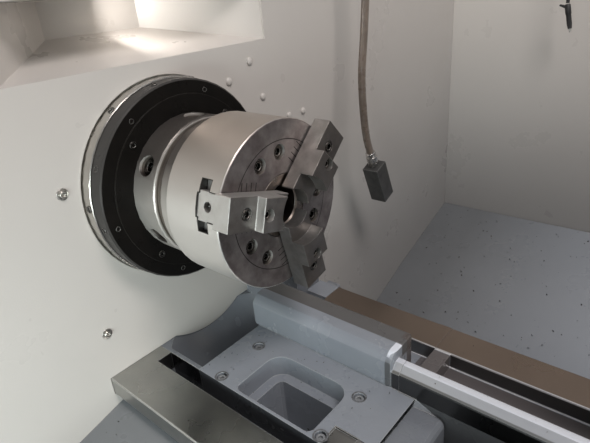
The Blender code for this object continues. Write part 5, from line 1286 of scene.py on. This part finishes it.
def chips():
    """Loose chips, wherever one falls on a tray or a casting."""
    pick = random.Random(41)
    bpy.context.view_layer.update()
    bm = bmesh.new()
    landed = 0
    for count, node_name, across, along, sizes in (
            (900, "rear_tray", (-0.19, 1.40), (0.27, 0.91), (0.0016, 0.0022, 0.0032, 0.0046)),
            (260, "front_tray", (-0.19, 1.40), (-0.505, -0.185), (0.0010, 0.0014, 0.0022)),
            (130, "gap_bridge", (-0.118, 0.135), (-0.085, 0.036), (0.0008, 0.0012, 0.0018)),
            (110, "bed", (-0.20, 0.50), (-0.17, 0.20), (0.0008, 0.0012, 0.0020))):
        for k in range(count):
            spot = landing(node_name, pick.uniform(*across), pick.uniform(*along))
            if spot is not None:
                chip(bm, spot + Vector((0, 0, 0.0003)), pick.choice(sizes), landed)
                landed += 1
    print("chips", landed)
    f = plain("chip_steel", (0.045, 0.042, 0.04), 0.35, 0.6, 0.00002, 0.0003)
    piece("loose_chips", bm, "machine", f.done(), 60.0)


chips()


# %% [markdown]
# ## The rest of the machine's own solids
# Hidden or outer solids keep their shapes and get the finish of their kind: enamelled castings,
# ground bars, dark turned pulleys, rubber belts.

# %% Other finishes
def enamel(name):
    """Pale enamel of the castings outside the work area."""
    return painted(name + "_enamel", (0.62, 0.61, 0.56), 0.28, 0.00010, 0.2, 0.003, 0.03, 0.3).done()


def grey_paint(name):
    """Dark grey paint of the motor, the tank and the control panel."""
    return painted(name + "_grey", (0.24, 0.25, 0.26), 0.4, 0.00008, 0.2, 0.002, 0.0, 0.1).done()


def dark_turned(name):
    """Dark turned steel."""
    return turned_steel(name + "_dark", (0.12, 0.12, 0.12), 0.35, CHUCK_AXIS, 0.00001, 0.3, 0.001,
                        0.002).done()


def bright_bar(name):
    """Bright turned bar."""
    return turned_steel(name + "_bright", (0.58, 0.57, 0.55), 0.2, CHUCK_AXIS, 0.000006, 0.2, 0.0008).done()


dress("headstock pedestal_left pedestal_right saddle cross_slide turret_base tailstock", enamel)
dress("main_motor coolant_tank control_panel", grey_paint)
dress("chuck_cylinder spindle_pulley motor_pulley tailstock_handwheel clamp_lever", dark_turned)
dress("draw_tube front_bearing rear_bearing quill live_centre turret_disc x_screw z_screw", bright_bar)
dress("x_motor z_motor", lambda name: plain(name + "_black", (0.03, 0.03, 0.032), 0.4, 0.0, 0.00005,
                                            0.002).done())
dress("drive_belt", lambda name: plain("belt_rubber", (0.02, 0.02, 0.02), 0.6, 0.0, 0.0001).done())
dress("door_handle hand_dial", lambda name: plain(name + "_black", (0.025, 0.025, 0.027), 0.35).done())
dress("screen", lambda name: plain("screen_glass", (0.012, 0.014, 0.02), 0.12, 0.0, 0.000002).done())
dress("emergency_button", lambda name: plain("button_red", (0.55, 0.015, 0.012), 0.28, 0.0, 0.00001).done())


def pane(name):
    """Clear polycarbonate with faint smears."""
    f = Finish("pane_polycarbonate", (0.80, 0.84, 0.83), 0.06)
    f.rough(f.clouds(12.0, 0.03, 0.12))
    f.tint((0.62, 0.66, 0.66), f.clouds(9.0, 0.0, 1.0), 0.3)
    f.shader.inputs["Transmission Weight"].default_value = 1.0
    f.shader.inputs["IOR"].default_value = 1.5
    return f.done()


dress("door_window", pane)


# %% [markdown]
# ## The outside
# The control panel hangs at the right of the door: a screen in a raised bezel, a block of moulded
# keys under it, and a dial whose ticks stand round it. No key carries a mark. The door's pane sits
# in a rubber gasket and its handle on two plates. Domed screws hold the side sheets, louvres let
# the headstock's air out, and the cabinet's door has a turning latch and lift-off hinges.

# %% Control panel
def box_of(name):
    """The low and high corner of a solid."""
    solid = frame["nodes"][name]
    points = [solid.matrix_world @ vertex.co for vertex in solid.data.vertices]
    return [Vector([pick(point[k] for point in points) for k in range(3)]) for pick in (min, max)]


def rectangle_frame(bm, low, high, wide, edge=0.0008):
    """Four bars round a rectangle that faces -Y; the bars stand outside it."""
    for start, end in (((low.x - wide, low.z - wide), (low.x, high.z + wide)),
                       ((high.x, low.z - wide), (high.x + wide, high.z + wide)),
                       ((low.x, low.z - wide), (high.x, low.z)),
                       ((low.x, high.z), (high.x, high.z + wide))):
        slab(bm, (start[0], low.y, start[1]), (end[0], high.y, end[1]), edge)


def panel_keys():
    """Keys, the screen's bezel and the dial's ticks."""
    panel_low, _ = box_of("control_panel")
    screen_low, screen_high = box_of("screen")
    face = panel_low.y
    bm = bmesh.new()
    columns = 8
    rows = 5
    step = (screen_high.x - screen_low.x) / columns
    row_step = 0.038
    first_row = screen_low.z - 0.045
    for column in range(columns):
        for row in range(rows):
            x = screen_low.x + step * (column + 0.5)
            z = first_row - row_step * row
            slab(bm, (x - step * 0.40, face - 0.0032, z - 0.0145),
                 (x + step * 0.40, face + 0.001, z + 0.0145), 0.0014, 2)
    piece("panel_keys", bm, "pendant", plain("key_grey", (0.50, 0.50, 0.48), 0.42, 0.0, 0.00002).done())
    bm = bmesh.new()
    rectangle_frame(bm, Vector((screen_low.x, face - 0.003, screen_low.z)),
                    Vector((screen_high.x, face + 0.001, screen_high.z)), 0.010)
    piece("screen_bezel", bm, "pendant", plain("bezel_black", (0.03, 0.03, 0.032), 0.4, 0.0, 0.00003).done())
    dial_low, dial_high = box_of("hand_dial")
    middle = (dial_low + dial_high) / 2
    bm = bmesh.new()
    ticks = 20
    for k in range(ticks):
        angle = 2 * math.pi * k / ticks
        reach = 0.0415 if k % 5 else 0.043
        place = Vector((middle.x + reach * math.cos(angle), face, middle.z + reach * math.sin(angle)))
        spin(bm, place, (0, -1, 0), ((0.0013, -0.0002), (0.0013, 0.0005), (0.0, 0.0006)), 10)
    piece("dial_ticks", bm, "pendant", plain("tick_white", (0.66, 0.66, 0.64), 0.5, 0.0, 0.00001).done())


panel_keys()


# %% [markdown]
# The gasket covers the edge of the pane from outside. The handle's plates are screwed to the door,
# so they ride on it too.

# %% Door furniture
def door_furniture():
    """The window's gasket and the plates of the handle."""
    door_low, _ = box_of("door")
    pane_low, pane_high = box_of("door_window")
    bm = bmesh.new()
    rectangle_frame(bm, Vector((pane_low.x + 0.003, door_low.y - 0.002, pane_low.z + 0.003)),
                    Vector((pane_high.x - 0.003, pane_low.y - 0.001, pane_high.z - 0.003)), 0.012, 0.001)
    piece("window_gasket", bm, "door", plain("gasket_rubber", (0.02, 0.02, 0.021), 0.55, 0.0, 0.00008).done())
    handle_low, handle_high = box_of("door_handle")
    bm = bmesh.new()
    for z in (handle_low.z + 0.016, handle_high.z - 0.016):
        x = (handle_low.x + handle_high.x) / 2
        slab(bm, (x - 0.014, door_low.y - 0.0022, z - 0.026),
             (x + 0.014, door_low.y + 0.0005, z + 0.026), 0.0009, 2)
        for side in (-0.021, 0.021):
            socket_screw(bm, (x, door_low.y - 0.0022, z + side), (0, -1, 0), 0.0034, 0.0022, 0.0017,
                         0.0014, 18)
    piece("handle_plates", bm, "door", plain("handle_plate", (0.09, 0.09, 0.095), 0.4, 0.0, 0.00002).done())


door_furniture()


# %% [markdown]
# Louvres are pressed out of the sheet, so they carry its paint. Each slopes out of the sheet from
# above and ends square below, so a flat outline pushed along its length gives the form.

# %% Side furniture
def domed_screw(bm, place, axis, radius=0.0060):
    """A low domed screw on its washer."""
    spin(bm, place, axis, ((radius * 1.25, 0.0), (radius * 1.25, 0.0008), (radius, 0.0012),
                           (radius * 0.9, 0.0026), (radius * 0.5, 0.0036), (0.0, 0.0039)), 18)


def side_furniture():
    """Screws of the end sheets, and louvres of the headstock's cover."""
    right_low, right_high = box_of("right_panel")
    left_low, left_high = box_of("headstock_cover")
    bm = bmesh.new()
    from_end = 0.06
    from_edge = 0.03
    for low, high, x, facing in ((right_low, right_high, right_high.x, 1),
                                 (left_low, left_high, left_low.x, -1)):
        for k in range(7):
            z = low.z + from_end + (high.z - low.z - 2 * from_end) * k / 6
            for y in (low.y + from_edge, high.y - from_edge):
                domed_screw(bm, (x, y, z), (facing, 0, 0))
    f = turned_steel("side_screw_zinc", (0.60, 0.59, 0.56), 0.32, CHUCK_AXIS, 0.000004, 0.2, 0.0006)
    piece("side_screws", bm, "machine", f.done())
    bm = bmesh.new()
    middle = (left_low.y + left_high.y) / 2
    for column in (-0.20, 0.20):
        for k in range(9):
            z = 0.36 + 0.032 * k
            prism(bm, (left_low.x, middle + column, z), (0, 1, 0),
                  ((-0.0005, -0.009), (0.0070, -0.009), (0.0062, -0.004), (0.0035, 0.004), (-0.0005, 0.009)),
                  -0.13, 0.13)
    piece("cover_louvres", bm, "machine",
          painted("louvre_paint", SKIN, 0.36, 0.00006, 0.10, 0.001, 0.0, 0.2).done())


side_furniture()


# %% [markdown]
# At the back the cabinet's door has round hinges, a turning latch and louvres of its own. They ride
# on the door, so they swing out with it.

# %% Rear furniture
def rear_furniture():
    """Hinges, latch and louvres of the cabinet's door."""
    low, high = box_of("cabinet_door")
    bm = bmesh.new()
    for z in (low.z + 0.20, (low.z + high.z) / 2, high.z - 0.20):
        spin(bm, (low.x + 0.010, high.y + 0.002, z - 0.035), (0, 0, 1),
             ((0, 0), (0.0050, 0.0), (0.0055, 0.001), (0.0055, 0.069), (0.0050, 0.07), (0, 0.07)), 20)
    piece("cabinet_hinges", bm, "cabinet_door", plain("hinge_black", (0.03, 0.03, 0.03), 0.4).done())
    bm = bmesh.new()
    x = high.x - 0.045
    z = (low.z + high.z) / 2
    spin(bm, (x, high.y, z), (0, 1, 0), ((0.0, 0.0), (0.019, 0.0), (0.019, 0.003), (0.017, 0.005),
                                         (0.009, 0.0055), (0.0, 0.0055)), 32)
    slab(bm, (x - 0.0045, high.y + 0.004, z - 0.017), (x + 0.0045, high.y + 0.0095, z + 0.017), 0.0015, 2)
    piece("cabinet_latch", bm, "cabinet_door", plain("latch_black", (0.025, 0.025, 0.026), 0.36).done())
    bm = bmesh.new()
    for k in range(10):
        spot = low.z + 0.16 + 0.030 * k
        prism(bm, ((low.x + high.x) / 2, high.y, spot), (1, 0, 0),
              ((-0.0005, -0.008), (0.0058, -0.008), (0.0052, -0.003), (0.0030, 0.004), (-0.0005, 0.008)),
              -0.16, 0.16)
    piece("cabinet_louvres", bm, "cabinet_door",
          painted("cabinet_louvre_paint", SKIN, 0.36, 0.00006, 0.10, 0.001, 0.0, 0.2).done())


rear_furniture()
